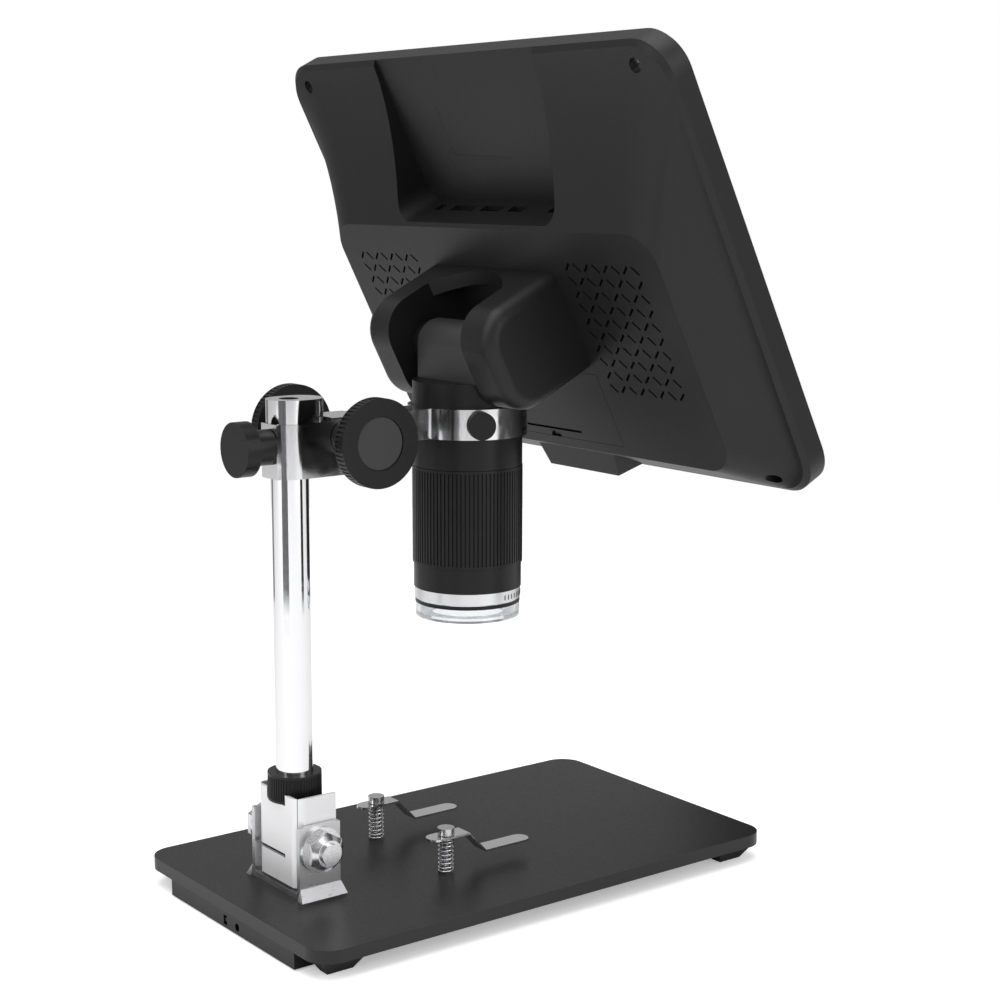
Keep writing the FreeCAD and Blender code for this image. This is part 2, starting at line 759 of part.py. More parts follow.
def gear_shape(teeth, module, width, backlash, turn):
    """A spur gear along X with straight-flanked teeth; one tooth at the turn angle."""
    pitch_radius = module * teeth / 2
    tip = pitch_radius + module
    root = pitch_radius - 1.25 * module
    step = 2 * math.pi / teeth
    half_pitch = step / 4 - backlash / 2 / pitch_radius
    half_tip = half_pitch - module * math.tan(math.radians(24)) / tip
    half_root = half_pitch + 1.25 * module * math.tan(math.radians(8)) / root
    outline = []
    for n in range(int(teeth)):
        middle = turn + n * step
        for radius, offset in ((root, -half_root), (pitch_radius, -half_pitch), (tip, -half_tip),
                               (tip, half_tip), (pitch_radius, half_pitch), (root, half_root)):
            angle = middle + offset
            outline.append(Vector(-width / 2, radius * math.cos(angle), radius * math.sin(angle)))
    face = Part.Face(Part.makePolygon(outline + outline[:1]))
    return face.extrude(Vector(width, 0, 0))


def drive_gear(name, back, turn):
    shape = gear_shape(mm["gear_teeth"], mm["gear_module"], mm["gear_width"], mm["gear_backlash"], turn)
    thing = solid(name, shape)
    return put(thing, ("0", back, "focus_level"))


def focus_drive():
    idler = drive_gear("idler_teeth", "idler_back", 0.0)
    axle = cylinder("idler_axle", "axle_radius", "axle_length",
                    ("-axle_length / 2", "idler_back", "focus_level"), "X")
    finish(fuse("idler", idler, axle), "idler_gear")
    pinion = drive_gear("pinion_teeth", "drive_back", 0.0)
    shaft = cylinder("shaft_rod", "shaft_radius", "2 * knob_face - 2",
                     ("-knob_face + 1", "drive_back", "focus_level"), "X")
    finish(fuse("drive_shaft", pinion, shaft), "focus_shaft")
    for side, sign in (("left", -1), ("right", 1)):
        focus_knob(side, sign)


def focus_knob(side, sign):
    """A disc with a grooved rim and a hub, pushed on the shaft's end."""
    disc = fluted_ring("knob_disc_" + side, "knob_radius", "shaft_radius + fit_gap", "knob_thickness",
                       ("0", "0", "0"), "knob_grooves", "grip_flute_width", "knob_groove_depth", "0.4")
    hub = cylinder("knob_hub_" + side, "knob_hub_radius",
                   "knob_face - knob_thickness - carriage_width / 2 - seat_gap",
                   ("0", "0", "-(knob_face - knob_thickness - carriage_width / 2 - seat_gap)"))
    plug = cylinder("knob_plug_" + side, "shaft_radius + 1", "1 - fit_gap",
                    ("0", "0", "knob_thickness - 1 + fit_gap"))
    blank = fuse("knob_blank_" + side, disc, hub, plug)
    dish = cylinder("knob_dish_" + side, "knob_recess_radius", "knob_recess_depth",
                    ("0", "0", "knob_thickness - knob_recess_depth"))
    bore = cylinder("knob_bore_" + side, "shaft_radius + fit_gap", "knob_face",
                    ("0", "0", "-knob_face + knob_thickness - 1 + fit_gap"))
    knob = cut("knob_" + side, blank, dish, bore)
    turn = Rotation(Vector(0, 1, 0), 90 * sign)
    place = Vector(sign * (mm["knob_face"] - mm["knob_thickness"]), mm["drive_back"], mm["focus_level"])
    finish(knob, "focus_knob_" + side, Placement(place, turn))


def carriage():
    low = "deck + carriage_bottom"
    wrap = cylinder("carriage_wrap", "carriage_rear - column_back", "carriage_height",
                    ("0", "column_back", low))
    back = middle_box("carriage_back", ("carriage_width * 0.62", "9", "carriage_height"),
                      ("0", "carriage_rear - 9", low))
    behind = "column_back - cap_reach - cap_radius - seat_gap - drive_front"
    body = middle_box("carriage_body", ("carriage_width", behind, "drive_height"),
                      ("0", "drive_front", "deck + arm_top - drive_height"))
    skirt = middle_box("carriage_skirt", ("carriage_width", "column_back - drive_back", "carriage_height"),
                       ("0", "drive_back", low))
    arm = middle_box("carriage_bar", ("arm_width", "drive_front + barrel_front", "arm_height"),
                     ("0", "-barrel_front", "arm_level"))
    ring = cylinder("ring_outer", "ring_radius", "arm_height", ("0", "-barrel_front", "arm_level"))
    blank = fuse("carriage_blank", wrap, back, body, skirt, arm, ring)
    hole = cylinder("ring_hole", "ring_inner", "arm_height", ("0", "-barrel_front", "arm_level"))
    slide = cylinder("carriage_bore", "column_radius + fit_gap", "carriage_height * 2",
                     ("0", "column_back", low + " - 5"))
    caves = [
        cylinder("gear_cave_" + name, "gear_radius + gear_module + 0.3", "gear_width + 0.6",
                 ("-gear_width / 2 - 0.3", back_at, "focus_level"), "X")
        for name, back_at in (("idler", "idler_back"), ("pinion", "drive_back"))
    ]
    axle_hole = cylinder("axle_hole", "axle_radius + fit_gap", "axle_length + 0.2",
                         ("-axle_length / 2 - 0.1", "idler_back", "focus_level"), "X")
    shaft_hole = cylinder("shaft_hole", "shaft_radius + fit_gap", "carriage_width",
                          ("-carriage_width / 2", "drive_back", "focus_level"), "X")
    lock_hole = cylinder("lock_hole", "lock_pin_radius + fit_gap", "20",
                         ("0", "column_back", "deck + lock_height"), "Y")
    screw_hole = solid("ring_screw_hole", Part.makeCylinder(
        mm["ring_screw_pin"] + mm["fit_gap"], 8, Vector(mm["ring_radius"] - 5, 0, 0), Vector(1, 0, 0)))
    screw_hole.Placement = ring_screw_frame()
    finish(cut("carriage_block", blank, hole, slide, *caves, axle_hole, shaft_hole, lock_hole, screw_hole),
           "carriage_arm")


def ring_screw_frame():
    """Along the clamp screw, from the barrel's axis outwards."""
    turn = Rotation(Vector(0, 0, 1), 180 - mm["ring_screw_angle"])
    return Placement(Vector(0, -mm["barrel_front"], mm["deck"] + mm["ring_screw_height"]), turn)


def clamp_screws():
    stem = "lock_stem_length - seat_gap"
    pin = cylinder("lock_pin", "lock_pin_radius", "carriage_rear - column_back - column_radius + 1",
                   ("0", "column_back + column_radius + seat_gap", "deck + lock_height"), "Y")
    shank = cylinder("lock_stem", "lock_stem_radius", stem,
                     ("0", "carriage_rear + seat_gap", "deck + lock_height"), "Y")
    cap_low = cylinder("lock_cap", "lock_cap_radius", "lock_cap_thickness",
                       ("0", "carriage_rear + lock_stem_length", "deck + lock_height"), "Y")
    finish(fuse("lock", pin, shank, cap_low), "lock_knob")
    head = cylinder("ring_screw_cap", "ring_screw_radius", "ring_screw_head",
                    ("ring_radius + seat_gap", "0", "0"), "X")
    neck = cylinder("ring_screw_shank", "ring_screw_pin", "ring_wall + 2 * seat_gap",
                    ("barrel_radius + seat_gap", "0", "0"), "X")
    finish(fuse("ring_screw_parts", head, neck), "ring_screw", ring_screw_frame())


def barrel():
    axis_y = "-barrel_front"
    low = "deck + barrel_bottom"
    tall = "barrel_top - barrel_bottom"
    outer = cylinder("barrel_outer", "barrel_radius", tall, ("0", axis_y, low))
    inner = cylinder("barrel_inner", "barrel_radius - barrel_wall", tall + " - barrel_top_wall",
                     ("0", axis_y, low))
    finish(cut("barrel", outer, inner), "barrel_housing")
    lens_tube()
    finish(fluted_ring("grip_body", "grip_radius", "lens_tube_radius + slide_gap",
                       "barrel_bottom - grip_bottom - slide_gap", ("0", axis_y, "deck + grip_bottom"),
                       "grip_flutes", "grip_flute_width", "grip_flute_depth", "grip_margin"),
           "focus_grip")
    finish(fluted_ring("lower_ring_body", "lower_ring_radius", "lens_tube_radius + fit_gap",
                       "grip_bottom - lower_ring_bottom - slide_gap",
                       ("0", axis_y, "deck + lower_ring_bottom"), None, None, None, None),
           "lower_ring")
    finish(fluted_ring("band_body", "nose_band_radius", "led_board_radius + fit_gap",
                       "lower_ring_bottom - nose_band_bottom",
                       ("0", axis_y, "deck + nose_band_bottom"), None, None, None, None),
           "nose_band")


def lens_tube():
    axis_y = "-barrel_front"
    low = "deck + lens_tube_bottom"
    top = "barrel_top - barrel_top_wall - lens_tube_bottom - seat_gap"
    tube = cylinder("tube_outer", "lens_tube_radius", top, ("0", axis_y, low))
    collar = cylinder("tube_collar", "barrel_radius - barrel_wall - fit_gap", "12",
                      ("0", axis_y, "deck + barrel_bottom + 2"))
    bore = cylinder("tube_bore", "lens_tube_radius - lens_tube_wall - 1",
                    top, ("0", axis_y, low + " + lens_seat_length"))
    step = cylinder("tube_step", "sensor_board_radius + fit_gap", top,
                    ("0", axis_y, "deck + sensor_level"))
    seat = cylinder("tube_seat", "lens_radius + fit_gap", "lens_seat_length",
                    ("0", axis_y, low))
    finish(cut("tube", fuse("tube_blank", tube, collar), bore, step, seat), "lens_tube")
    lenses = []
    upper = "lens_tube_bottom + lens_seat_length - 0.6 - lens_thickness"
    for n, level in enumerate(("lens_tube_bottom + 0.6", upper)):
        disc = cylinder("lens_disc_%d" % n, "lens_radius", "lens_thickness", ("0", axis_y, "deck + " + level))
        lenses.append(disc)
    finish(group("lens_pair", *lenses), "lenses")
    board = cylinder("sensor_board_disc", "sensor_board_radius", "board_thickness",
                     ("0", axis_y, "deck + sensor_level"))
    chip = box("sensor_chip_block", ("sensor_chip", "sensor_chip", "sensor_chip_height"),
               ("-sensor_chip / 2", axis_y + " - sensor_chip / 2",
                "deck + sensor_level - sensor_chip_height"))
    finish(group("sensor", board, chip), "sensor_board")


def nose():
    axis_y = "-barrel_front"
    low = "deck + nose_bottom"
    outer = cylinder("nose_outer", "nose_radius", "nose_band_bottom - nose_bottom - 0.1", ("0", axis_y, low))
    inner = cylinder("nose_inner", "nose_radius - nose_wall", "nose_band_bottom",
                     ("0", axis_y, low + " + nose_wall"))
    opening = cylinder("nose_opening", "nose_radius - nose_wall - nose_lip", "nose_band_bottom",
                       ("0", axis_y, low))
    finish(cut("nose_ring", outer, inner, opening), "nose_window")
    board_low = "deck + lens_tube_bottom - board_thickness - 0.2"
    board = cylinder("led_disc", "led_board_radius", "board_thickness", ("0", axis_y, board_low))
    hole = cylinder("led_disc_hole", "led_board_bore", "board_thickness", ("0", axis_y, board_low))
    parts = [cut("led_annulus", board, hole)]
    for n in range(int(mm["led_count"])):
        angle = 2 * math.pi * n / int(mm["led_count"])
        x = "led_circle * %.6f" % math.cos(angle)
        y = axis_y + " + led_circle * %.6f" % math.sin(angle)
        parts.append(cylinder("led_%d" % n, "led_radius", "led_height", (x, y, board_low + " - led_height")))
    finish(group("led_set", *parts), "led_ring")


def neck():
    axis_y = "-barrel_front"
    block = middle_box("neck_block", ("neck_width", "neck_depth", "tilt_height - barrel_top"),
                       ("0", axis_y + " - neck_depth / 2", "deck + barrel_top"))
    top = cylinder("neck_top", "neck_depth / 2", "neck_width",
                   ("-neck_width / 2", axis_y, "tilt_level"), "X")
    envelope = cylinder("neck_envelope", "barrel_radius", "40", ("0", axis_y, "deck + barrel_top"))
    bore = cylinder("neck_bore", "hinge_pin_radius + fit_gap", "neck_width",
                    ("-neck_width / 2", axis_y, "tilt_level"), "X")
    body = common("neck_trimmed", fuse("neck_blank", block, top), envelope)
    finish(cut("neck_body", body, bore), "neck")


def display_frame():
    """The display's upright frame: X across, Y from its face to its back, Z up it."""
    turn = Rotation(Vector(1, 0, 0), -mm["display_tilt"])
    pivot = Vector(0, -mm["barrel_front"], mm["tilt_level"])
    away = turn.multVec(Vector(0, mm["pivot_back"], -mm["pivot_drop"]))
    return Placement(pivot - away, turn)


def rounded_outline(half_width, low, high, radius, depth):
    """A closed outline in the X-Z plane with four round corners."""
    centres = [
        (half_width - radius, high - radius, 0),
        (-half_width + radius, high - radius, 90),
        (-half_width + radius, low + radius, 180),
        (half_width - radius, low + radius, 270),
    ]
    edges = []
    first = last = None
    for x, z, start in centres:
        points = []
        for angle in (start, start + 45, start + 90):
            a = math.radians(angle)
            points.append(Vector(x + radius * math.cos(a), depth, z + radius * math.sin(a)))
        if last is not None:
            edges.append(Part.LineSegment(last, points[0]).toShape())
        else:
            first = points[0]
        edges.append(Part.Arc(*points).toShape())
        last = points[2]
    edges.append(Part.LineSegment(last, first).toShape())
    return Part.Wire(edges)


def housing_form(inset, front, back):
    """The rear housing's outer form, or its hollow when inset by the wall."""
    half = mm["housing_width"] / 2 - inset
    high = mm["half_height"] - inset
    corner = mm["housing_corner"] - inset
    rim = mm["edge_inset"]
    sections = [
        (half, -high, high, corner, front),
        (half, -high, high, corner, mm["side_depth"] - inset * 0.5),
        (half - rim, -high + rim, high - rim, corner - rim * 0.5, mm["back_level"] - inset),
    ]
    block = Part.makeLoft([rounded_outline(*one) for one in sections], True, True)
    level = mm["back_level"] - inset
    rise = back - level
    pod_half = mm["pod_width"] / 2 - inset
    stations = []
    for share in (0.0, 0.05, 0.18, 0.4, 0.7, 1.0):
        sweep = share ** 0.5
        fall = share ** 0.6
        stations.append(rounded_outline(
            half - rim + (pod_half - half + rim) * sweep,
            -high + rim + (high - rim - mm["pod_bottom"] + inset) * share,
            high - rim + (mm["pod_top"] - inset - high + rim) * fall,
            corner - rim * 0.5 + (mm["pod_corner"] - inset * 0.5 - corner + rim * 0.5) * share,
            level + rise * share))
    pod = Part.makeLoft(stations, True, False)
    return block.fuse(pod).removeSplitter()


def local_box(x, y, z):
    """A box given by its low and high values along X, Y and Z."""
    return Part.makeBox(x[1] - x[0], y[1] - y[0], z[1] - z[0], Vector(x[0], y[0], z[0]))


def recess_form(grow):
    """The port recess with round lower corners, grown by a wall for the hollow."""
    half = mm["recess_width"] / 2 + grow
    radius = mm["recess_corner"] + grow
    top = mm["half_height"] + 30
    outline = rounded_outline(half, mm["recess_bottom"] - grow, top, radius, mm["recess_floor"] - grow)
    return Part.Face(outline).extrude(Vector(0, 60, 0))


def chin_form(inset):
    """The block under the middle of the housing's lower edge."""
    half_top = mm["chin_width"] / 2 - inset
    half_low = half_top - mm["chin_taper"]
    front = mm["chin_front"] + inset
    back = mm["chin_back"] - inset
    bottom = -mm["chin_drop"] + inset
    front_bottom = -mm["half_height"] + mm["edge_inset"] - 1.0 + inset
    wires = []
    for half, lift in ((half_top, 14.0), (half_low, 0.0)):
        corners = [
            Vector(-half, front, front_bottom + lift),
            Vector(half, front, front_bottom + lift),
            Vector(half, back, bottom + lift),
            Vector(-half, back, bottom + lift),
        ]
        wires.append(Part.makePolygon(corners + corners[:1]))
    return Part.makeLoft(wires, True, True)


def vent_slits():
    """Two mirrored fields of short slits that lean alternately."""
    slits = []
    back = mm["pod_depth"]
    long = mm["vent_length"] / 2
    thin = mm["vent_slit"] / 2
    for side in (-1, 1):
        for row_at in range(int(mm["vent_rows"])):
            for column_at in range(int(mm["vent_columns"])):
                lean = 45 if (row_at + column_at) % 2 else -45
                slit = local_box((-long, long), (back - 6, back + 2), (-thin, thin))
                x = mm["vent_start"] + column_at * mm["vent_pitch"]
                z = mm["vent_top"] - row_at * mm["vent_row_pitch"]
                turn = Rotation(Vector(0, 1, 0), lean * side)
                slit.Placement = Placement(Vector(side * x, 0, z), turn)
                slits.append(slit)
    return Part.makeCompound(slits)


def screw_places():
    across = mm["screw_across"] / 2
    up = mm["screw_up"] / 2
    return [(x, z) for x in (-across, across) for z in (-up, up)]


def post(x, z, radius, low, high):
    """A round post through the housing's depth."""
    return Part.makeCylinder(radius, high - low, Vector(x, low, z), Vector(0, 1, 0))


PORTS = (
    ("audio", 34.0, 3.6),
    ("video", 19.0, 14.0),
    ("card", 2.0, 12.0),
    ("usb", -12.5, 8.4),
    ("power", -33.5, 5.0),
)


def rear_shell():
    wall = mm["shell_wall"]
    bezel = mm["bezel_depth"]
    pod = mm["pod_depth"]
    outer = housing_form(0.0, bezel, pod).fuse(chin_form(0.0))
    outer = outer.cut(recess_form(0.0))
    hollow = housing_form(wall, bezel - 1.0, pod - wall)
    hollow = hollow.cut(recess_form(wall))
    for x, z in screw_places():
        hollow = hollow.cut(post(x, z, mm["screw_boss_radius"], 0, 40))
    board_half = mm["main_board_width"] / 2 - 5
    board_top = mm["recess_bottom"] - wall - 1.0
    board_low = board_top - mm["main_board_height"]
    board_back = mm["main_board_level"] + mm["main_board_thickness"]
    for x in (-board_half, board_half):
        for z in (board_low + 5, board_top - 5):
            hollow = hollow.cut(post(x, z, 3.0, board_back, 40))
    cover_low = -mm["cover_drop"]
    cover_high = cover_low + mm["cover_height"]
    cover_half = mm["cover_width"] / 2
    tray_back = pod - mm["cover_thickness"] - mm["seat_gap"]
    battery_front = tray_back - mm["battery_thickness"] - 2 * mm["seat_gap"]
    tray = local_box((-cover_half - wall, cover_half + wall), (battery_front - wall, 40),
                     (cover_low - wall, cover_high + wall))
    hollow = hollow.cut(tray)
    shell = outer.cut(hollow)
    gap = mm["slide_gap"]
    shell = shell.cut(local_box((-cover_half - gap, cover_half + gap),
                                (pod - mm["cover_thickness"] - gap, 40),
                                (cover_low - gap, cover_high + gap)))
    battery_half = mm["battery_width"] / 2 + mm["seat_gap"]
    middle = (cover_low + cover_high) / 2
    battery_up = mm["battery_height"] / 2 + mm["seat_gap"]
    shell = shell.cut(local_box((-battery_half, battery_half), (battery_front, 40),
                                (middle - battery_up, middle + battery_up)))
    for x, z in screw_places():
        shell = shell.cut(post(x, z, mm["screw_pin_radius"] + mm["fit_gap"], 0, 40))
        shell = shell.cut(post(x, z, mm["screw_hole_radius"], screw_seat(), 40))
    for name, x, wide in PORTS:
        low = mm["main_board_level"] - mm["port_height"]
        shell = shell.cut(local_box((x - wide / 2, x + wide / 2), (low, mm["main_board_level"] - 0.4),
                                    (board_top - 2, mm["recess_bottom"] + 2)))
    shell = shell.cut(vent_slits())
    finish(solid("rear_shell_form", shell), "rear_shell", display_frame())


def screw_seat():
    """Where the corner screws' heads sit, measured from the front face."""
    return mm["back_level"] - mm["screw_sink"] + mm["screw_head_height"]


def front_bezel():
    half = mm["housing_width"] / 2
    high = mm["half_height"]
    corner = mm["housing_corner"]
    depth = mm["bezel_depth"]
    wires = [
        rounded_outline(half - 1.0, -high + 1.0, high - 1.0, corner - 1.0, 0.0),
        rounded_outline(half, -high, high, corner, 1.0),
        rounded_outline(half, -high, high, corner, depth),
    ]
    blank = Part.makeLoft(wires, True, True)
    gap = mm["seat_gap"]
    rise = mm["glass_rise"]
    glass_half = mm["glass_width"] / 2 + gap
    glass_up = mm["glass_height"] / 2 + gap
    panel_half = mm["panel_width"] / 2 + gap
    panel_up = mm["panel_height"] / 2 + gap
    window = local_box((-glass_half, glass_half), (-1, 10), (rise - glass_up, rise + glass_up))
    pocket = local_box((-panel_half, panel_half), (mm["glass_thickness"] + 0.3, 10),
                       (rise - panel_up, rise + panel_up))
    bezel = blank.cut(window).cut(pocket)
    for x, z in screw_places():
        bezel = bezel.cut(post(x, z, mm["screw_pin_radius"] + mm["fit_gap"], 1.6, 10))
    board = mm["button_board_width"] / 2 + 0.3
    board_up = mm["button_board_height"] / 2 + 0.3
    drop = mm["button_drop"]
    bezel = bezel.cut(local_box((-board, board), (button_back(), 10), (-drop - board_up, -drop + board_up)))
    for n in range(int(mm["button_count"])):
        bezel = bezel.cut(post(button_across(n), -drop, mm["button_radius"] + mm["slide_gap"], -1, 10))
    finish(solid("bezel_form", bezel), "front_bezel", display_frame())


def button_across(n):
    """The place of button n across the chin."""
    return (n - (int(mm["button_count"]) - 1) / 2) * mm["button_pitch"]


def button_back():
    """The back of the bezel skin that the buttons come through."""
    return 1.6


def display_parts():
    rise = mm["glass_rise"]
    glass = local_box((-mm["glass_width"] / 2, mm["glass_width"] / 2), (0.2, 0.2 + mm["glass_thickness"]),
                      (rise - mm["glass_height"] / 2, rise + mm["glass_height"] / 2))
    finish(solid("glass_form", glass), "cover_glass", display_frame())
    panel_front = mm["glass_thickness"] + 0.4
    panel = local_box((-mm["panel_width"] / 2, mm["panel_width"] / 2),
                      (panel_front, panel_front + mm["panel_thickness"]),
                      (rise - mm["panel_height"] / 2, rise + mm["panel_height"] / 2))
    finish(solid("panel_form", panel), "lcd_panel", display_frame())
    screws = []
    seat = screw_seat()
    for x, z in screw_places():
        head = post(x, z, mm["screw_hole_radius"] - 0.2, seat, seat + mm["screw_head_height"])
        screws.append(head.fuse(post(x, z, mm["screw_pin_radius"], 1.8, seat + 0.1)))
    finish(solid("screw_forms", Part.makeCompound(screws)), "shell_screws", display_frame())
    front = button_back() + mm["button_flange"] + mm["button_travel"] + 0.3
    drop = mm["button_drop"]
    board = local_box((-mm["button_board_width"] / 2, mm["button_board_width"] / 2),
                      (front, front + mm["board_thickness"]),
                      (-drop - mm["button_board_height"] / 2, -drop + mm["button_board_height"] / 2))
    finish(solid("button_board_form", board), "button_board", display_frame())
    for n in range(int(mm["button_count"])):
        x = button_across(n)
        cap = post(x, -drop, mm["button_radius"], -mm["button_rise"], button_back())
        flange = post(x, -drop, mm["button_radius"] + 0.7, button_back() + mm["slide_gap"],
                      button_back() + mm["button_flange"])
        core = post(x, -drop, mm["button_radius"] - 1, 0, button_back() + mm["button_flange"])
        finish(solid("button_form_%d" % (n + 1), cap.fuse(flange).fuse(core)),
               "button_%d" % (n + 1), display_frame())


def battery_parts():
    pod = mm["pod_depth"]
    cover_low = -mm["cover_drop"]
    cover_high = cover_low + mm["cover_height"]
    half = mm["cover_width"] / 2
    thick = mm["cover_thickness"]
    cover = local_box((-half, half), (pod - thick, pod), (cover_low, cover_high))
    slot = local_box((-mm["cover_slot_width"] / 2, mm["cover_slot_width"] / 2), (pod - thick * 0.6, pod + 1),
                     (cover_low + 3.0, cover_low + 3.0 + mm["cover_slot_height"]))
    notch = Part.makeCylinder(3.0, 6, Vector(0, pod - thick * 0.6, cover_low - 0.6), Vector(0, 1, 0))
    finish(solid("cover_form", cover.cut(slot).cut(notch)), "battery_cover", display_frame())
    back = pod - thick - mm["seat_gap"]
    middle = (cover_low + cover_high) / 2
    cell = local_box((-mm["battery_width"] / 2, mm["battery_width"] / 2),
                     (back - mm["battery_thickness"], back),
                     (middle - mm["battery_height"] / 2, middle + mm["battery_height"] / 2))
    finish(solid("battery_form", cell), "battery", display_frame())


def electronics():
    wall = mm["shell_wall"]
    top = mm["recess_bottom"] - wall - 1.0
    level = mm["main_board_level"]
    low = top - mm["main_board_height"]
    board = local_box((-mm["main_board_width"] / 2, mm["main_board_width"] / 2),
                      (level, level + mm["main_board_thickness"]), (low, top))
    finish(solid("main_board_form", board), "main_board", display_frame())
    blocks = []
    for name, x, wide in PORTS:
        block = local_box((x - wide / 2 - 0.6, x + wide / 2 + 0.6), (level - mm["port_height"], level),
                          (top - mm["port_depth"], top + 0.7))
        mouth = local_box((x - wide / 2 + 0.2, x + wide / 2 - 0.2),
                          (level - mm["port_height"] + 0.8, level - 0.8),
                          (top - mm["port_depth"] + 2, top + 2))
        blocks.append(block.cut(mouth))
    finish(solid("port_forms", Part.makeCompound(blocks)), "port_connectors", display_frame())
    inner = mm["pod_depth"] - wall
    speakers = []
    for side in (-1, 1):
        x = side * mm["speaker_offset"]
        speakers.append(local_box((x - mm["speaker_width"] / 2, x + mm["speaker_width"] / 2),
                                  (inner - mm["speaker_depth"] - 0.2, inner - 0.2),
                                  (-mm["speaker_drop"] - mm["speaker_height"] / 2,
                                   -mm["speaker_drop"] + mm["speaker_height"] / 2)))
    finish(solid("speaker_forms", Part.makeCompound(speakers)), "speakers", display_frame())


def hinge_yoke():
    pod = mm["pod_depth"]
    half = mm["yoke_width"] / 2
    pocket = mm["yoke_pocket"] / 2
    low = -mm["yoke_bottom"]
    high = mm["yoke_top"]
    back = mm["yoke_back"]
    radius = mm["yoke_corner"]
    diagonal = radius * (1 - math.sqrt(0.5))
    points = [Vector(-half, pod, low), Vector(-half, back - radius, low),
              Vector(-half, back - diagonal, low + diagonal), Vector(-half, back, low + radius),
              Vector(-half, back, high - radius), Vector(-half, back - diagonal, high - diagonal),
              Vector(-half, back - radius, high), Vector(-half, pod, high)]
    outline = Part.Wire([
        Part.LineSegment(points[0], points[1]).toShape(),
        Part.Arc(points[1], points[2], points[3]).toShape(),
        Part.LineSegment(points[3], points[4]).toShape(),
        Part.Arc(points[4], points[5], points[6]).toShape(),
        Part.LineSegment(points[6], points[7]).toShape(),
        Part.LineSegment(points[7], points[0]).toShape(),
    ])
    block = Part.Face(outline).extrude(Vector(2 * half, 0, 0))
    edges = [e for e in block.Edges
             if abs(abs(e.CenterOfMass.x) - half) < 0.01 and e.CenterOfMass.y > pod + 0.5]
    block = block.makeFillet(mm["yoke_edge"], edges)
    pivot_y = mm["pivot_back"]
    pivot_z = -mm["pivot_drop"]
    room = local_box((-pocket, pocket), (pod + mm["yoke_base"], back + 5), (low - 5, high - mm["yoke_roof"]))
    arch = Part.makeCylinder(mm["yoke_arch_radius"], 30, Vector(0, mm["yoke_arch_back"], high - 15),
                             Vector(0, 0, 1))
    arch = arch.common(local_box((-pocket, pocket), (pod, back + 5), (high - 15, high + 10)))
    hole_half = mm["hinge_pin_length"] / 2 + 0.1
    hole = Part.makeCylinder(mm["hinge_pin_radius"] + mm["fit_gap"], 2 * hole_half,
                             Vector(-hole_half, pivot_y, pivot_z), Vector(1, 0, 0))
    yoke = block.cut(room).cut(arch).cut(hole)
    finish(solid("yoke_form", yoke), "hinge_yoke", display_frame())
    half_pin = mm["hinge_pin_length"] / 2
    pin = Part.makeCylinder(mm["hinge_pin_radius"], 2 * half_pin, Vector(-half_pin, pivot_y, pivot_z),
                            Vector(1, 0, 0))
    finish(solid("hinge_pin_form", pin), "hinge_pin", display_frame())
    discs = []
    gap = mm["seat_gap"]
    start = mm["neck_width"] / 2 + gap
    thick = pocket - gap - start
    for x in (start, -start - thick):
        disc = Part.makeCylinder(mm["hinge_disc_radius"], thick, Vector(x, pivot_y, pivot_z), Vector(1, 0, 0))
        bore = Part.makeCylinder(mm["hinge_pin_radius"] + mm["fit_gap"], thick, Vector(x, pivot_y, pivot_z),
                                 Vector(1, 0, 0))
        discs.append(disc.cut(bore))
    finish(solid("hinge_disc_forms", Part.makeCompound(discs)), "hinge_discs", display_frame())


def spring_shape(turns, radius, wire, low, high):
    """One round wire: a closed-up first and last turn and open turns between."""
    quarter = math.pi / 2
    lead = 2 * wire + 0.45
    quarters = int(turns * 4)
    middle = (high - low - 2 * wire - 2 * lead) / (quarters - 8)
    heights = [low + wire]
    for n in range(quarters):
        end_turn = n < 4 or n >= quarters - 4
        heights.append(heights[-1] + (lead / 4 if end_turn else middle))

    def on_helix(n):
        whole = int(math.floor(n))
        share = n - whole
        height = heights[whole]
        if share > 0:
            height += (heights[whole + 1] - height) * share
        return Vector(radius * math.cos(n * quarter), radius * math.sin(n * quarter), height)

    edges = []
    samples = []
    for n in range(quarters):
        edges.append(Part.Arc(on_helix(n), on_helix(n + 0.5), on_helix(n + 1)).toShape())
        samples += [on_helix(n + k / 8) for k in range(8)]
    path = Part.Wire(edges)
    start = edges[0].tangentAt(edges[0].FirstParameter)
    profile = Part.Wire([Part.Circle(on_helix(0), start, wire).toShape()])
    gaps = []
    for i, first in enumerate(samples):
        for second in samples[i + 24:]:
            gaps.append((first - second).Length - 2 * wire)
    print("least gap of the spring to itself: %.3f mm" % min(gaps))
    sweep = Part.BRepOffsetAPI.MakePipeShell(path)
    sweep.add(profile)
    sweep.build()
    sweep.makeSolid()
    return sweep.shape()


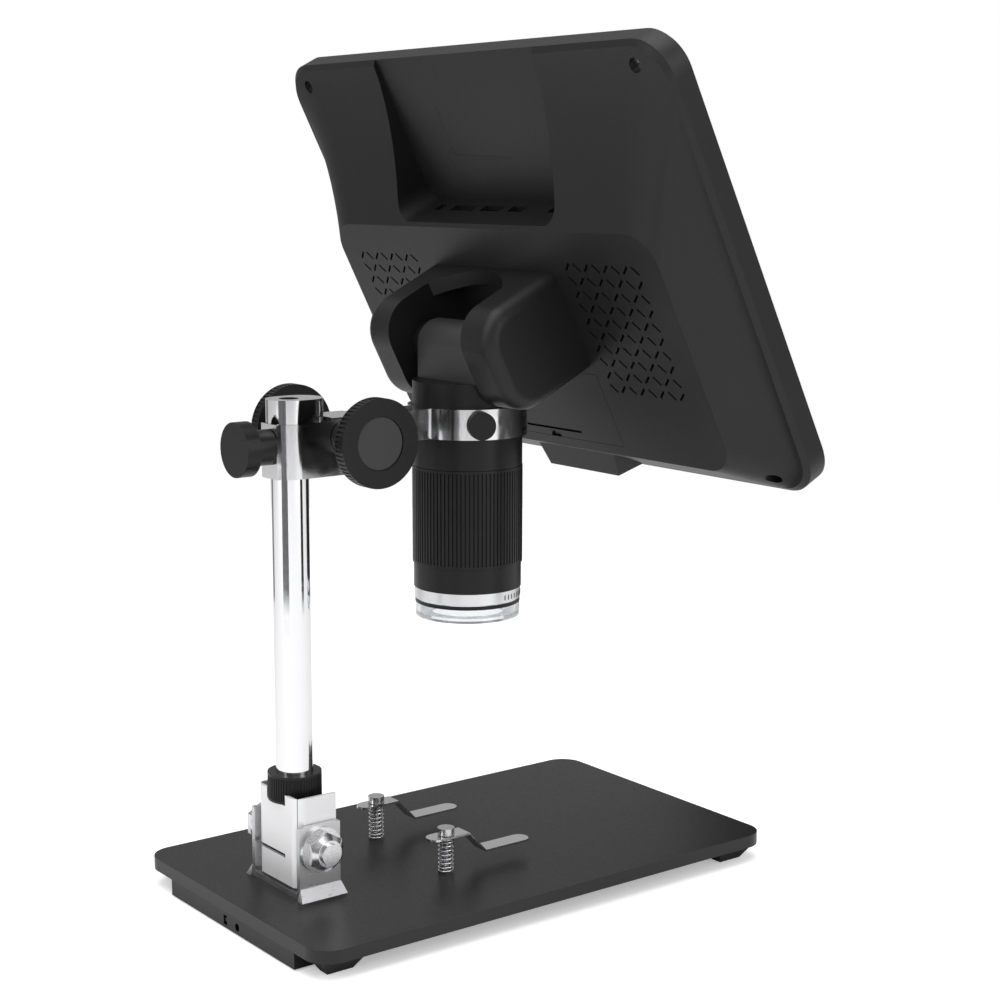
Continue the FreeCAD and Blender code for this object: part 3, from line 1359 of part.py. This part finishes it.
def stage_clips():
    deck = mm["deck"]
    level = deck + mm["clip_level"]
    flange_low = level - mm["bush_flange_thickness"]
    spring = spring_shape(mm["spring_turns"], mm["spring_radius"], mm["spring_wire"],
                          deck + 0.05, flange_low - 0.05)
    screws = []
    for side, sign in (("left", -1), ("right", 1)):
        x = sign * mm["clip_across"] / 2
        sign_text = "-" if sign < 0 else ""
        across = sign_text + "clip_across / 2"
        pin = cylinder("clip_pin_" + side, "clip_screw_radius",
                       "plate_thickness + clip_level + clip_sheet + 0.4",
                       (across, "clip_back", "foot_height"))
        head = cylinder("clip_head_" + side, "clip_head_radius", "clip_head_height",
                        (across, "clip_back", "deck + clip_level + clip_sheet + seat_gap"))
        screws.append(fuse("clip_screw_" + side, pin, head))
        wire = solid("spring_form_" + side, spring.copy())
        wire.Placement = Placement(Vector(x, mm["clip_back"], 0), Rotation())
        finish(wire, "clip_spring_" + side)
        tube = cylinder("bush_tube_" + side, "bush_radius", "clip_sheet + bush_flange_thickness",
                        (across, "clip_back", "deck + clip_level - bush_flange_thickness"))
        flange = cylinder("bush_rim_" + side, "bush_flange", "bush_flange_thickness",
                          (across, "clip_back", "deck + clip_level - bush_flange_thickness"))
        hole = cylinder("bush_hole_" + side, "clip_screw_radius + fit_gap", "clip_level",
                        (across, "clip_back", "deck + clip_level - bush_flange_thickness"))
        finish(cut("bush_" + side, fuse("bush_blank_" + side, tube, flange), hole), "clip_bush_" + side)
        finish(clip_strip(side, x, level), "stage_clip_" + side)
    finish(group("clip_screw_pair", *screws), "clip_screws")


def clip_strip(side, x, level):
    """A bent strip: round tab, flat over the spring, slope down and a long foot."""
    thick = mm["clip_sheet"]
    half = mm["clip_width"] / 2
    low = level + 0.1
    profile = [
        (mm["clip_tab"], low),
        (-mm["clip_flat"], low),
        (-mm["clip_flat"] - mm["clip_run"], low - mm["clip_drop"]),
        (-mm["clip_flat"] - mm["clip_run"] - mm["clip_foot"], low - mm["clip_drop"]),
    ]
    under = [Vector(-half, y, z) for y, z in profile]
    over = [Vector(-half, y, z + thick) for y, z in reversed(profile)]
    strip = Part.Face(Part.makePolygon(under + over + under[:1])).extrude(Vector(2 * half, 0, 0))
    length = mm["clip_tab"] + mm["clip_flat"] + mm["clip_run"] + mm["clip_foot"]
    outline = local_box((-half, half), (0, length - 2 * half), (level - 20, level + 10))
    outline.translate(Vector(0, -length + mm["clip_tab"] + half, 0))
    for y in (mm["clip_tab"] - half, mm["clip_tab"] - length + half):
        outline = outline.fuse(Part.makeCylinder(half, 30, Vector(0, y, level - 20)))
    strip = strip.common(outline)
    hole = Part.makeCylinder(mm["bush_radius"] + mm["fit_gap"], 30, Vector(0, 0, level - 10))
    strip = solid("clip_form_" + side, strip.cut(hole))
    strip.Placement = Placement(Vector(x, mm["clip_back"], 0), Rotation())
    return strip


def write_steps():
    doc.recompute()
    faults = [o.Name + " " + ",".join(o.State) for o in doc.Objects
              if "Invalid" in o.State or "Error" in o.State]
    for thing in pieces:
        if thing.Shape.isNull() or not thing.Shape.isValid() or not thing.Shape.Solids:
            faults.append(thing.Label + " has no valid shape")
    if faults:
        raise RuntimeError("; ".join(faults))
    os.makedirs("parts", exist_ok=True)
    for thing in pieces:
        thing.Shape.exportStep("parts/%s.step" % thing.Label)
        print("%-18s %2d solids %12.2f mm3" % (thing.Label, len(thing.Shape.Solids), thing.Shape.Volume))


base_plate()
corner_feet()
control_box()
control_parts()
pivot_cradle()
pivot_bolt()
pivot_bracket()
column()
carriage()
focus_drive()
clamp_screws()
barrel()
nose()
neck()
rear_shell()
front_bezel()
display_parts()
battery_parts()
electronics()
hinge_yoke()
stage_clips()
write_steps()
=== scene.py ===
import json
import math

import bmesh
import bpy
from mathutils import Matrix, Vector


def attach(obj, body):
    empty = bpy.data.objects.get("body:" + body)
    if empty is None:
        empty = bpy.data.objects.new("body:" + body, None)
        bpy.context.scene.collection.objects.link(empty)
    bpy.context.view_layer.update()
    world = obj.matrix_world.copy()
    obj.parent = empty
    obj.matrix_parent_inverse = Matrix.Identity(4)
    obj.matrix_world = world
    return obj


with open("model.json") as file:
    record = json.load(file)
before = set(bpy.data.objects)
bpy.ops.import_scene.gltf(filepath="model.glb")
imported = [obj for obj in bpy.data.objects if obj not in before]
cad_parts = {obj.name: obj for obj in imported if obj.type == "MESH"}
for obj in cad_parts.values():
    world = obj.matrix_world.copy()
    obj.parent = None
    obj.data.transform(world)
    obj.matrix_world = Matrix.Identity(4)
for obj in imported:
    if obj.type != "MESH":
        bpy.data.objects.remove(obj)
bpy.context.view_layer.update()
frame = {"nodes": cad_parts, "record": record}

# Sizes are in metres and stage angles in degrees, in the same frame as the solids.
DECK = 0.0108                # the base plate's top
BARREL_AXIS_Y = -0.003
COLUMN_AXIS_Y = 0.072
TILT = math.radians(27.0)    # the display's lean at rest
SCREEN_ORIGIN = Vector((0.0, -0.0409, 0.2277))

EDGE_WIDTH = 0.00008
EDGE_SEGMENTS = 2

# The recess line, as distances across and up the display, and out through its back.
RECESS_FLOOR = 0.0086
LINE_FOOT = 0.00855
LINE_CORNERS = [(0.0205, 0.064), (0.0205, 0.045), (-0.013, 0.0435)]
LINE_WIDTH = 0.00035
LINE_HEIGHT = 0.0001

# The marks and the dark band of the nose.
TICK_COUNT = 9
TICK_FIRST = 188.0
TICK_STEP = 5.5
TICK_RADIUS = 0.0193
TICK_SINK = 0.00005
TICK_RISE = 0.00012
TICK_LOW = DECK + 0.0948
TICK_HIGH = DECK + 0.0966
TICK_WIDTH = 0.0004
BAND_RADIUS = 0.01905
BAND_LOW = DECK + 0.0922
BAND_HIGH = DECK + 0.0936
BAND_THICKNESS = 0.0001
BAND_SIDES = 128

# The round inlays of the focus knobs.
INLAY_LEFT_X = -0.02915
INLAY_RIGHT_X = 0.0288
INLAY_Y = 0.0545
INLAY_Z = DECK + 0.1577
INLAY_RADIUS = 0.0089
INLAY_THICKNESS = 0.00035
INLAY_SIDES = 96

# Noise values between these two spread over the whole of a colour or roughness range.
NOISE_LOW = 0.3
NOISE_HIGH = 0.7
CLOUD_SCALE = 14.0
CLOUD_DETAIL = 3.0
GRAIN_DETAIL = 4.0
COAT_ROUGHNESS = 0.12
CLEAR_SHARE = 0.9
CLEAR_IOR = 1.49

# Stage, lamps, world and camera.
FLOOR_NEAR = -2.0
FLOOR_FAR = 0.8
FLOOR_HALF_WIDTH = 4
FLOOR_GREYS = (0.90, 0.92)
FLOOR_NOISE_SCALE = 2.0
FLOOR_NOISE_DETAIL = 2.0
FLOOR_ROUGHNESS = 0.9
FLOOR_SPECULAR = 0.1
FLOOR_GLOW = 0.35
FLAG_DISTANCE = 0.5
FLAG_FOOT = 0.004
FLAG_HEIGHT = 0.42
FLAG_RUNS = 8
LAMP_TARGET = (0.0, 0.0, 0.15)
WORLD_GREY = 0.9
WORLD_STRENGTH = 0.5
CAMERA_PLACE = Vector((-0.56172, 0.41237, 0.2569))
CAMERA_FORWARD = Vector((0.79099, -0.58912, -0.16516)).normalized()
CAMERA_LENS = 70.09
CAMERA_SENSOR = 36.0
CAMERA_SHIFT = 0.026


def new_material(name):
    """A material with only a Principled shader and an output."""
    material = bpy.data.materials.new(name)
    material.use_nodes = True
    tree = material.node_tree
    tree.nodes.clear()
    output = tree.nodes.new("ShaderNodeOutputMaterial")
    shader = tree.nodes.new("ShaderNodeBsdfPrincipled")
    tree.links.new(shader.outputs["BSDF"], output.inputs["Surface"])
    return material, tree, shader


def coordinates(tree, stretch=(1, 1, 1)):
    """Object coordinates, scaled by axis for brushed and turned metal."""
    place = tree.nodes.new("ShaderNodeTexCoord")
    mapping = tree.nodes.new("ShaderNodeMapping")
    mapping.inputs["Scale"].default_value = stretch
    tree.links.new(place.outputs["Object"], mapping.inputs["Vector"])
    return mapping.outputs["Vector"]


def noise(tree, vector, scale, detail):
    """Plain noise at these coordinates."""
    node = tree.nodes.new("ShaderNodeTexNoise")
    node.inputs["Scale"].default_value = scale
    node.inputs["Detail"].default_value = detail
    tree.links.new(vector, node.inputs["Vector"])
    return node.outputs["Fac"]


def blend_range(tree, source, low, high):
    """The source spread over a range of values."""
    node = tree.nodes.new("ShaderNodeMapRange")
    node.inputs["From Min"].default_value = NOISE_LOW
    node.inputs["From Max"].default_value = NOISE_HIGH
    node.inputs["To Min"].default_value = low
    node.inputs["To Max"].default_value = high
    tree.links.new(source, node.inputs["Value"])
    return node.outputs["Result"]


def surface(name, dark, light, rough, metal=0.0, grain=(900.0, 0.08, 0.00008),
            stretch=(1, 1, 1), specular=0.5, coat=0.0):
    """A surface whose colour, roughness and fine relief all vary.

    grain is the relief's noise scale, its strength and its depth in metres.
    """
    material, tree, shader = new_material(name)
    grain_scale, grain_strength, grain_depth = grain
    vector = coordinates(tree, stretch)
    broad = noise(tree, coordinates(tree), CLOUD_SCALE, CLOUD_DETAIL)
    ramp = tree.nodes.new("ShaderNodeValToRGB")
    ramp.color_ramp.elements[0].position = NOISE_LOW
    ramp.color_ramp.elements[0].color = (*dark, 1)
    ramp.color_ramp.elements[1].position = NOISE_HIGH
    ramp.color_ramp.elements[1].color = (*light, 1)
    tree.links.new(broad, ramp.inputs["Fac"])
    tree.links.new(ramp.outputs["Color"], shader.inputs["Base Color"])
    fine = noise(tree, vector, grain_scale, GRAIN_DETAIL)
    tree.links.new(blend_range(tree, fine, *rough), shader.inputs["Roughness"])
    bump = tree.nodes.new("ShaderNodeBump")
    bump.inputs["Strength"].default_value = grain_strength
    bump.inputs["Distance"].default_value = grain_depth
    tree.links.new(fine, bump.inputs["Height"])
    tree.links.new(bump.outputs["Normal"], shader.inputs["Normal"])
    shader.inputs["Metallic"].default_value = metal
    shader.inputs["Specular IOR Level"].default_value = specular
    shader.inputs["Coat Weight"].default_value = coat
    shader.inputs["Coat Roughness"].default_value = COAT_ROUGHNESS
    return material


def clear_surface(name, tint, rough):
    """Clear plastic or glass with faint moulding marks."""
    material = surface(name, tint, tint, rough, grain=(300.0, 0.03, 0.00005))
    shader = [n for n in material.node_tree.nodes if n.type == "BSDF_PRINCIPLED"][0]
    shader.inputs["Transmission Weight"].default_value = CLEAR_SHARE
    shader.inputs["IOR"].default_value = CLEAR_IOR
    return material


def screen_glass(name):
    """A dark switched-off display behind glossy glass."""
    return surface(name, (0.008, 0.009, 0.012), (0.012, 0.013, 0.017), (0.06, 0.12),
                   grain=(120.0, 0.02, 0.00003), coat=1.0)


FINISHES = {
    "plate_paint": surface(
        "plate_paint_look", (0.0075, 0.0077, 0.0082), (0.011, 0.0112, 0.0118), (0.30, 0.42),
        grain=(1800.0, 0.22, 0.00012), specular=0.35),
    "foot_rubber": surface(
        "foot_rubber_look", (0.003, 0.003, 0.003), (0.006, 0.006, 0.006), (0.7, 0.9),
        grain=(1200.0, 0.3, 0.0002)),
    "black_plastic": surface(
        "black_plastic_look", (0.003, 0.003, 0.0033), (0.006, 0.006, 0.0064), (0.30, 0.42),
        grain=(1500.0, 0.15, 0.0001), specular=0.28),
    "shell_plastic": surface(
        "shell_plastic_look", (0.0048, 0.0048, 0.0053), (0.0075, 0.0075, 0.0082), (0.40, 0.52),
        grain=(2200.0, 0.25, 0.00012), specular=0.34),
    "grey_plastic": surface(
        "grey_plastic_look", (0.018, 0.018, 0.019), (0.028, 0.028, 0.029), (0.36, 0.5),
        grain=(1500.0, 0.12, 0.0001)),
    "green_board": surface(
        "green_board_look", (0.01, 0.07, 0.03), (0.02, 0.11, 0.05), (0.3, 0.45),
        grain=(500.0, 0.2, 0.0001)),
    "brushed": surface(
        "brushed_look", (0.50, 0.50, 0.51), (0.62, 0.62, 0.63), (0.26, 0.42), metal=1.0,
        grain=(240.0, 0.25, 0.00006), stretch=(1, 1, 14)),
    "steel": surface(
        "steel_look", (0.60, 0.60, 0.61), (0.72, 0.72, 0.73), (0.16, 0.28), metal=1.0,
        grain=(700.0, 0.08, 0.00004)),
    "chrome_metal": surface(
        "chrome_look", (0.74, 0.74, 0.75), (0.82, 0.82, 0.83), (0.05, 0.11), metal=1.0,
        grain=(500.0, 0.03, 0.00003)),
    "light_metal": surface(
        "light_metal_look", (0.70, 0.70, 0.71), (0.80, 0.80, 0.81), (0.28, 0.4), metal=1.0,
        grain=(900.0, 0.12, 0.00005)),
    "clear_cover": clear_surface("clear_cover_look", (0.90, 0.93, 0.94), (0.04, 0.10)),
    "lens_glass": clear_surface("lens_glass_look", (0.94, 0.97, 0.98), (0.0, 0.03)),
    "panel_black": screen_glass("panel_look"),
    "cell_wrap": surface(
        "cell_wrap_look", (0.03, 0.09, 0.22), (0.05, 0.13, 0.30), (0.25, 0.4)),
    "button_plastic": surface(
        "button_look", (0.12, 0.12, 0.125), (0.17, 0.17, 0.175), (0.35, 0.5)),
}
CARRIAGE_LOOK = surface(
    "carriage_look", (0.60, 0.60, 0.61), (0.72, 0.72, 0.73), (0.10, 0.20), metal=1.0,
    grain=(260.0, 0.12, 0.00005), stretch=(10, 1, 1))
BRACKET_LOOK = surface(
    "bracket_look", (0.66, 0.66, 0.67), (0.76, 0.76, 0.77), (0.30, 0.42), metal=0.4,
    grain=(900.0, 0.12, 0.00005))
CLIP_LOOK = surface(
    "clip_look", (0.70, 0.70, 0.71), (0.80, 0.80, 0.81), (0.12, 0.22), metal=1.0,
    grain=(320.0, 0.12, 0.00004), stretch=(1, 8, 1))
GLASS_LOOK = screen_glass("cover_glass_look")
BY_NODE = {
    "carriage_arm": CARRIAGE_LOOK,
    "pivot_bracket": BRACKET_LOOK,
    "stage_clip_left": CLIP_LOOK,
    "stage_clip_right": CLIP_LOOK,
    "cover_glass": GLASS_LOOK,
}

slot_of = {one["node"]: one["material_slot"] for one in frame["record"]["subparts"]}
for node, thing in frame["nodes"].items():
    look = BY_NODE.get(node, FINISHES[slot_of[node]])
    for holder in thing.material_slots:
        holder.material = look


def mesh_of(form, name, outward=True):
    """Turn a bmesh into a named mesh, by default with its faces turned outward."""
    if outward:
        bmesh.ops.recalc_face_normals(form, faces=form.faces)
    mesh = bpy.data.meshes.new(name)
    form.to_mesh(mesh)
    form.free()
    return mesh


def linked(name, data):
    """A new object in the scene that holds this data."""
    thing = bpy.data.objects.new(name, data)
    bpy.context.scene.collection.objects.link(thing)
    return thing


def finished(name, mesh, look, body):
    """Link a mesh, bevel its edges and let it ride on a body."""
    thing = linked(name, mesh)
    thing.data.materials.append(look)
    soften = thing.modifiers.new("soft_edges", "BEVEL")
    soften.width = EDGE_WIDTH
    soften.segments = EDGE_SEGMENTS
    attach(thing, body)


def on_screen(across, up, out):
    """A point of the display's own frame: across it, up it, and out through its back."""
    rise = Vector((0.0, math.sin(TILT), math.cos(TILT)))
    back = Vector((0.0, math.cos(TILT), -math.sin(TILT)))
    return SCREEN_ORIGIN + Vector((across, 0.0, 0.0)) + rise * up + back * out


def strip_mesh(name, corners, width, height):
    """A raised line along corners on the recess floor, one closed box per run."""
    form = bmesh.new()
    for (x0, z0), (x1, z1) in zip(corners, corners[1:]):
        run = Vector((x1 - x0, z1 - z0)).normalized() * width / 2
        side = Vector((-run.y, run.x))
        ring = [(x0 - run.x + side.x, z0 - run.y + side.y),
                (x1 + run.x + side.x, z1 + run.y + side.y),
                (x1 + run.x - side.x, z1 + run.y - side.y),
                (x0 - run.x - side.x, z0 - run.y - side.y)]
        low = [form.verts.new(on_screen(x, z, LINE_FOOT)) for x, z in ring]
        high = [form.verts.new(on_screen(x, z, RECESS_FLOOR + height)) for x, z in ring]
        form.faces.new(low)
        form.faces.new(list(reversed(high)))
        for n in range(4):
            m = (n + 1) % 4
            form.faces.new((low[n], high[n], high[m], low[m]))
    return mesh_of(form, name)


def tick_mesh(name, count, first, step, radius, low, high, width):
    """Short raised blocks on part of a ring, each one set square to it."""
    form = bmesh.new()
    for n in range(count):
        middle = math.radians(first + step * n)
        half = width / radius / 2
        rows = []
        for reach in (radius - TICK_SINK, radius + TICK_RISE):
            for level in (low, high):
                rows.append([
                    form.verts.new((reach * math.cos(middle + t),
                                    BARREL_AXIS_Y + reach * math.sin(middle + t), level))
                    for t in (-half, half)])
        (a, b), (c, d), (e, f), (g, h) = rows
        for face in ((a, b, d, c), (e, g, h, f), (a, e, f, b),
                     (c, d, h, g), (a, c, g, e), (b, f, h, d)):
            form.faces.new(face)
    return mesh_of(form, name)


def band_mesh(name, radius, low, high, thickness, count):
    """A thin closed band round the barrel's axis."""
    form = bmesh.new()
    section = ((radius, low), (radius + thickness, low),
               (radius + thickness, high), (radius, high))
    rows = []
    for n in range(count):
        angle = 2 * math.pi * n / count
        rows.append([
            form.verts.new((reach * math.cos(angle),
                            BARREL_AXIS_Y + reach * math.sin(angle), level))
            for reach, level in section])
    for n in range(count):
        here, there = rows[n], rows[(n + 1) % count]
        for k in range(4):
            m = (k + 1) % 4
            form.faces.new((here[k], here[m], there[m], there[k]))
    return mesh_of(form, name)


def disc_mesh(name, middle, radius, thickness, count):
    """A thin round plate whose axis runs along X."""
    form = bmesh.new()
    ends = []
    for across in (middle.x, middle.x + thickness):
        ends.append([
            form.verts.new((across, middle.y + radius * math.cos(2 * math.pi * n / count),
                            middle.z + radius * math.sin(2 * math.pi * n / count)))
            for n in range(count)])
    form.faces.new(ends[0])
    form.faces.new(list(reversed(ends[1])))
    for n in range(count):
        m = (n + 1) % count
        form.faces.new((ends[0][n], ends[1][n], ends[1][m], ends[0][m]))
    return mesh_of(form, name)


# Thin trim that the solids leave out.
finished("recess_line",
         strip_mesh("recess_line", LINE_CORNERS, LINE_WIDTH, LINE_HEIGHT),
         FINISHES["black_plastic"], "display")
finished("nose_ticks",
         tick_mesh("nose_ticks", TICK_COUNT, TICK_FIRST, TICK_STEP, TICK_RADIUS,
                   TICK_LOW, TICK_HIGH, TICK_WIDTH),
         FINISHES["black_plastic"], "head")
finished("nose_dark_band",
         band_mesh("nose_dark_band", BAND_RADIUS, BAND_LOW, BAND_HIGH,
                   BAND_THICKNESS, BAND_SIDES),
         FINISHES["black_plastic"], "head")

KNOB_INLAY = surface(
    "knob_inlay_look", (0.011, 0.011, 0.0115), (0.016, 0.016, 0.0165), (0.42, 0.55),
    grain=(1500.0, 0.15, 0.0001))
for side, across in (("left", INLAY_LEFT_X), ("right", INLAY_RIGHT_X)):
    inlay = disc_mesh("knob_inlay_" + side, Vector((across, INLAY_Y, INLAY_Z)),
                      INLAY_RADIUS, INLAY_THICKNESS, INLAY_SIDES)
    finished("knob_inlay_" + side, inlay, KNOB_INLAY, "focus_drive")


def flag(name, first, last, look):
    """A tall curved dark panel round the column, seen only in what metal reflects."""
    form = bmesh.new()
    base = Vector((0, COLUMN_AXIS_Y, FLAG_FOOT))
    rows = []
    for n in range(FLAG_RUNS + 1):
        angle = math.radians(first + (last - first) * n / FLAG_RUNS)
        foot = Vector((math.cos(angle), math.sin(angle), 0)) * FLAG_DISTANCE + base
        rows.append([form.verts.new(foot), form.verts.new(foot + Vector((0, 0, FLAG_HEIGHT)))])
    for here, there in zip(rows, rows[1:]):
        form.faces.new((here[0], there[0], there[1], here[1]))
    panel = linked(name, mesh_of(form, name, outward=False))
    panel.data.materials.append(look)
    panel.visible_camera = False
    panel.visible_diffuse = False
    panel.visible_shadow = False
    panel.visible_transmission = False
    panel.visible_volume_scatter = False


def stage():
    """A pale flat floor, a little brighter to the camera; past its edge the world shows."""
    form = bmesh.new()
    away = Vector((CAMERA_FORWARD.x, CAMERA_FORWARD.y, 0)).normalized()
    side = Vector((-away.y, away.x, 0))
    near, far = [[form.verts.new(away * reach + side * s)
                  for s in (-FLOOR_HALF_WIDTH, FLOOR_HALF_WIDTH)]
                 for reach in (FLOOR_NEAR, FLOOR_FAR)]
    form.faces.new((near[0], near[1], far[1], far[0]))
    floor = linked("floor", mesh_of(form, "floor", outward=False))
    material, tree, shader = new_material("floor_look")
    vector = coordinates(tree)
    ramp = tree.nodes.new("ShaderNodeValToRGB")
    for element, grey in zip(ramp.color_ramp.elements, FLOOR_GREYS):
        element.color = (grey, grey, grey, 1)
    tree.links.new(noise(tree, vector, FLOOR_NOISE_SCALE, FLOOR_NOISE_DETAIL),
                   ramp.inputs["Fac"])
    tree.links.new(ramp.outputs["Color"], shader.inputs["Base Color"])
    shader.inputs["Roughness"].default_value = FLOOR_ROUGHNESS
    shader.inputs["Specular IOR Level"].default_value = FLOOR_SPECULAR
    glow = tree.nodes.new("ShaderNodeEmission")
    glow.inputs["Color"].default_value = (1, 1, 1, 1)
    glow.inputs["Strength"].default_value = FLOOR_GLOW
    seen_floor = tree.nodes.new("ShaderNodeAddShader")
    tree.links.new(shader.outputs["BSDF"], seen_floor.inputs[0])
    tree.links.new(glow.outputs["Emission"], seen_floor.inputs[1])
    path = tree.nodes.new("ShaderNodeLightPath")
    choose = tree.nodes.new("ShaderNodeMixShader")
    tree.links.new(path.outputs["Is Camera Ray"], choose.inputs["Fac"])
    tree.links.new(shader.outputs["BSDF"], choose.inputs[1])
    tree.links.new(seen_floor.outputs["Shader"], choose.inputs[2])
    end = [n for n in tree.nodes if n.type == "OUTPUT_MATERIAL"][0]
    tree.links.new(choose.outputs["Shader"], end.inputs["Surface"])
    floor.data.materials.append(material)


def lamp(name, place, size, power):
    """A soft rectangular lamp that faces the middle of the object."""
    data = bpy.data.lights.new(name, "AREA")
    data.shape = "RECTANGLE"
    data.size, data.size_y = size
    data.energy = power
    thing = linked(name, data)
    thing.location = place
    facing = Vector(LAMP_TARGET) - Vector(place)
    thing.rotation_euler = facing.to_track_quat("-Z", "Y").to_euler()


def light_world():
    """White where the camera sees the world itself, a softer grey for all other rays."""
    world = bpy.data.worlds.new("studio")
    bpy.context.scene.world = world
    world.use_nodes = True
    tree = world.node_tree
    tree.nodes.clear()
    out = tree.nodes.new("ShaderNodeOutputWorld")
    soft = tree.nodes.new("ShaderNodeBackground")
    soft.inputs["Color"].default_value = (WORLD_GREY, WORLD_GREY, WORLD_GREY, 1)
    soft.inputs["Strength"].default_value = WORLD_STRENGTH
    seen = tree.nodes.new("ShaderNodeBackground")
    seen.inputs["Color"].default_value = (1, 1, 1, 1)
    seen.inputs["Strength"].default_value = 1.0
    kind = tree.nodes.new("ShaderNodeLightPath")
    mix = tree.nodes.new("ShaderNodeMixShader")
    tree.links.new(kind.outputs["Is Camera Ray"], mix.inputs["Fac"])
    tree.links.new(soft.outputs["Background"], mix.inputs[1])
    tree.links.new(seen.outputs["Background"], mix.inputs[2])
    tree.links.new(mix.outputs["Shader"], out.inputs["Surface"])


def place_camera():
    """The photograph's camera, as it was solved on the base plate's corners."""
    data = bpy.data.cameras.new("camera")
    data.lens = CAMERA_LENS
    data.sensor_width = CAMERA_SENSOR
    data.shift_x = CAMERA_SHIFT
    right = CAMERA_FORWARD.cross(Vector((0, 0, 1))).normalized()
    up = right.cross(CAMERA_FORWARD)
    turn = Matrix((right, up, -CAMERA_FORWARD)).transposed().to_4x4()
    camera = linked("camera", data)
    camera.matrix_world = Matrix.Translation(CAMERA_PLACE) @ turn
    bpy.context.scene.camera = camera


stage()
# name, first and last angle round the column, look
flag("flag_wide", 96.0, 134.0, FINISHES["button_plastic"])
flag("flag_narrow", 211.0, 228.0, FINISHES["foot_rubber"])
flag("flag_right_edge", 272.0, 300.0, FINISHES["foot_rubber"])
flag("flag_left_edge", 4.0, 24.0, FINISHES["button_plastic"])
# name, place, size, watts
lamp("top_lamp", (-0.1, 0.2, 1.5), (1.4, 1.4), 17.0)
lamp("left_lamp", (-0.3, 1.3, 0.7), (0.9, 1.2), 9.0)
lamp("right_lamp", (-1.4, -0.5, 0.7), (0.9, 1.2), 9.0)
light_world()
place_camera()
bpy.context.scene.view_settings.view_transform = "Standard"
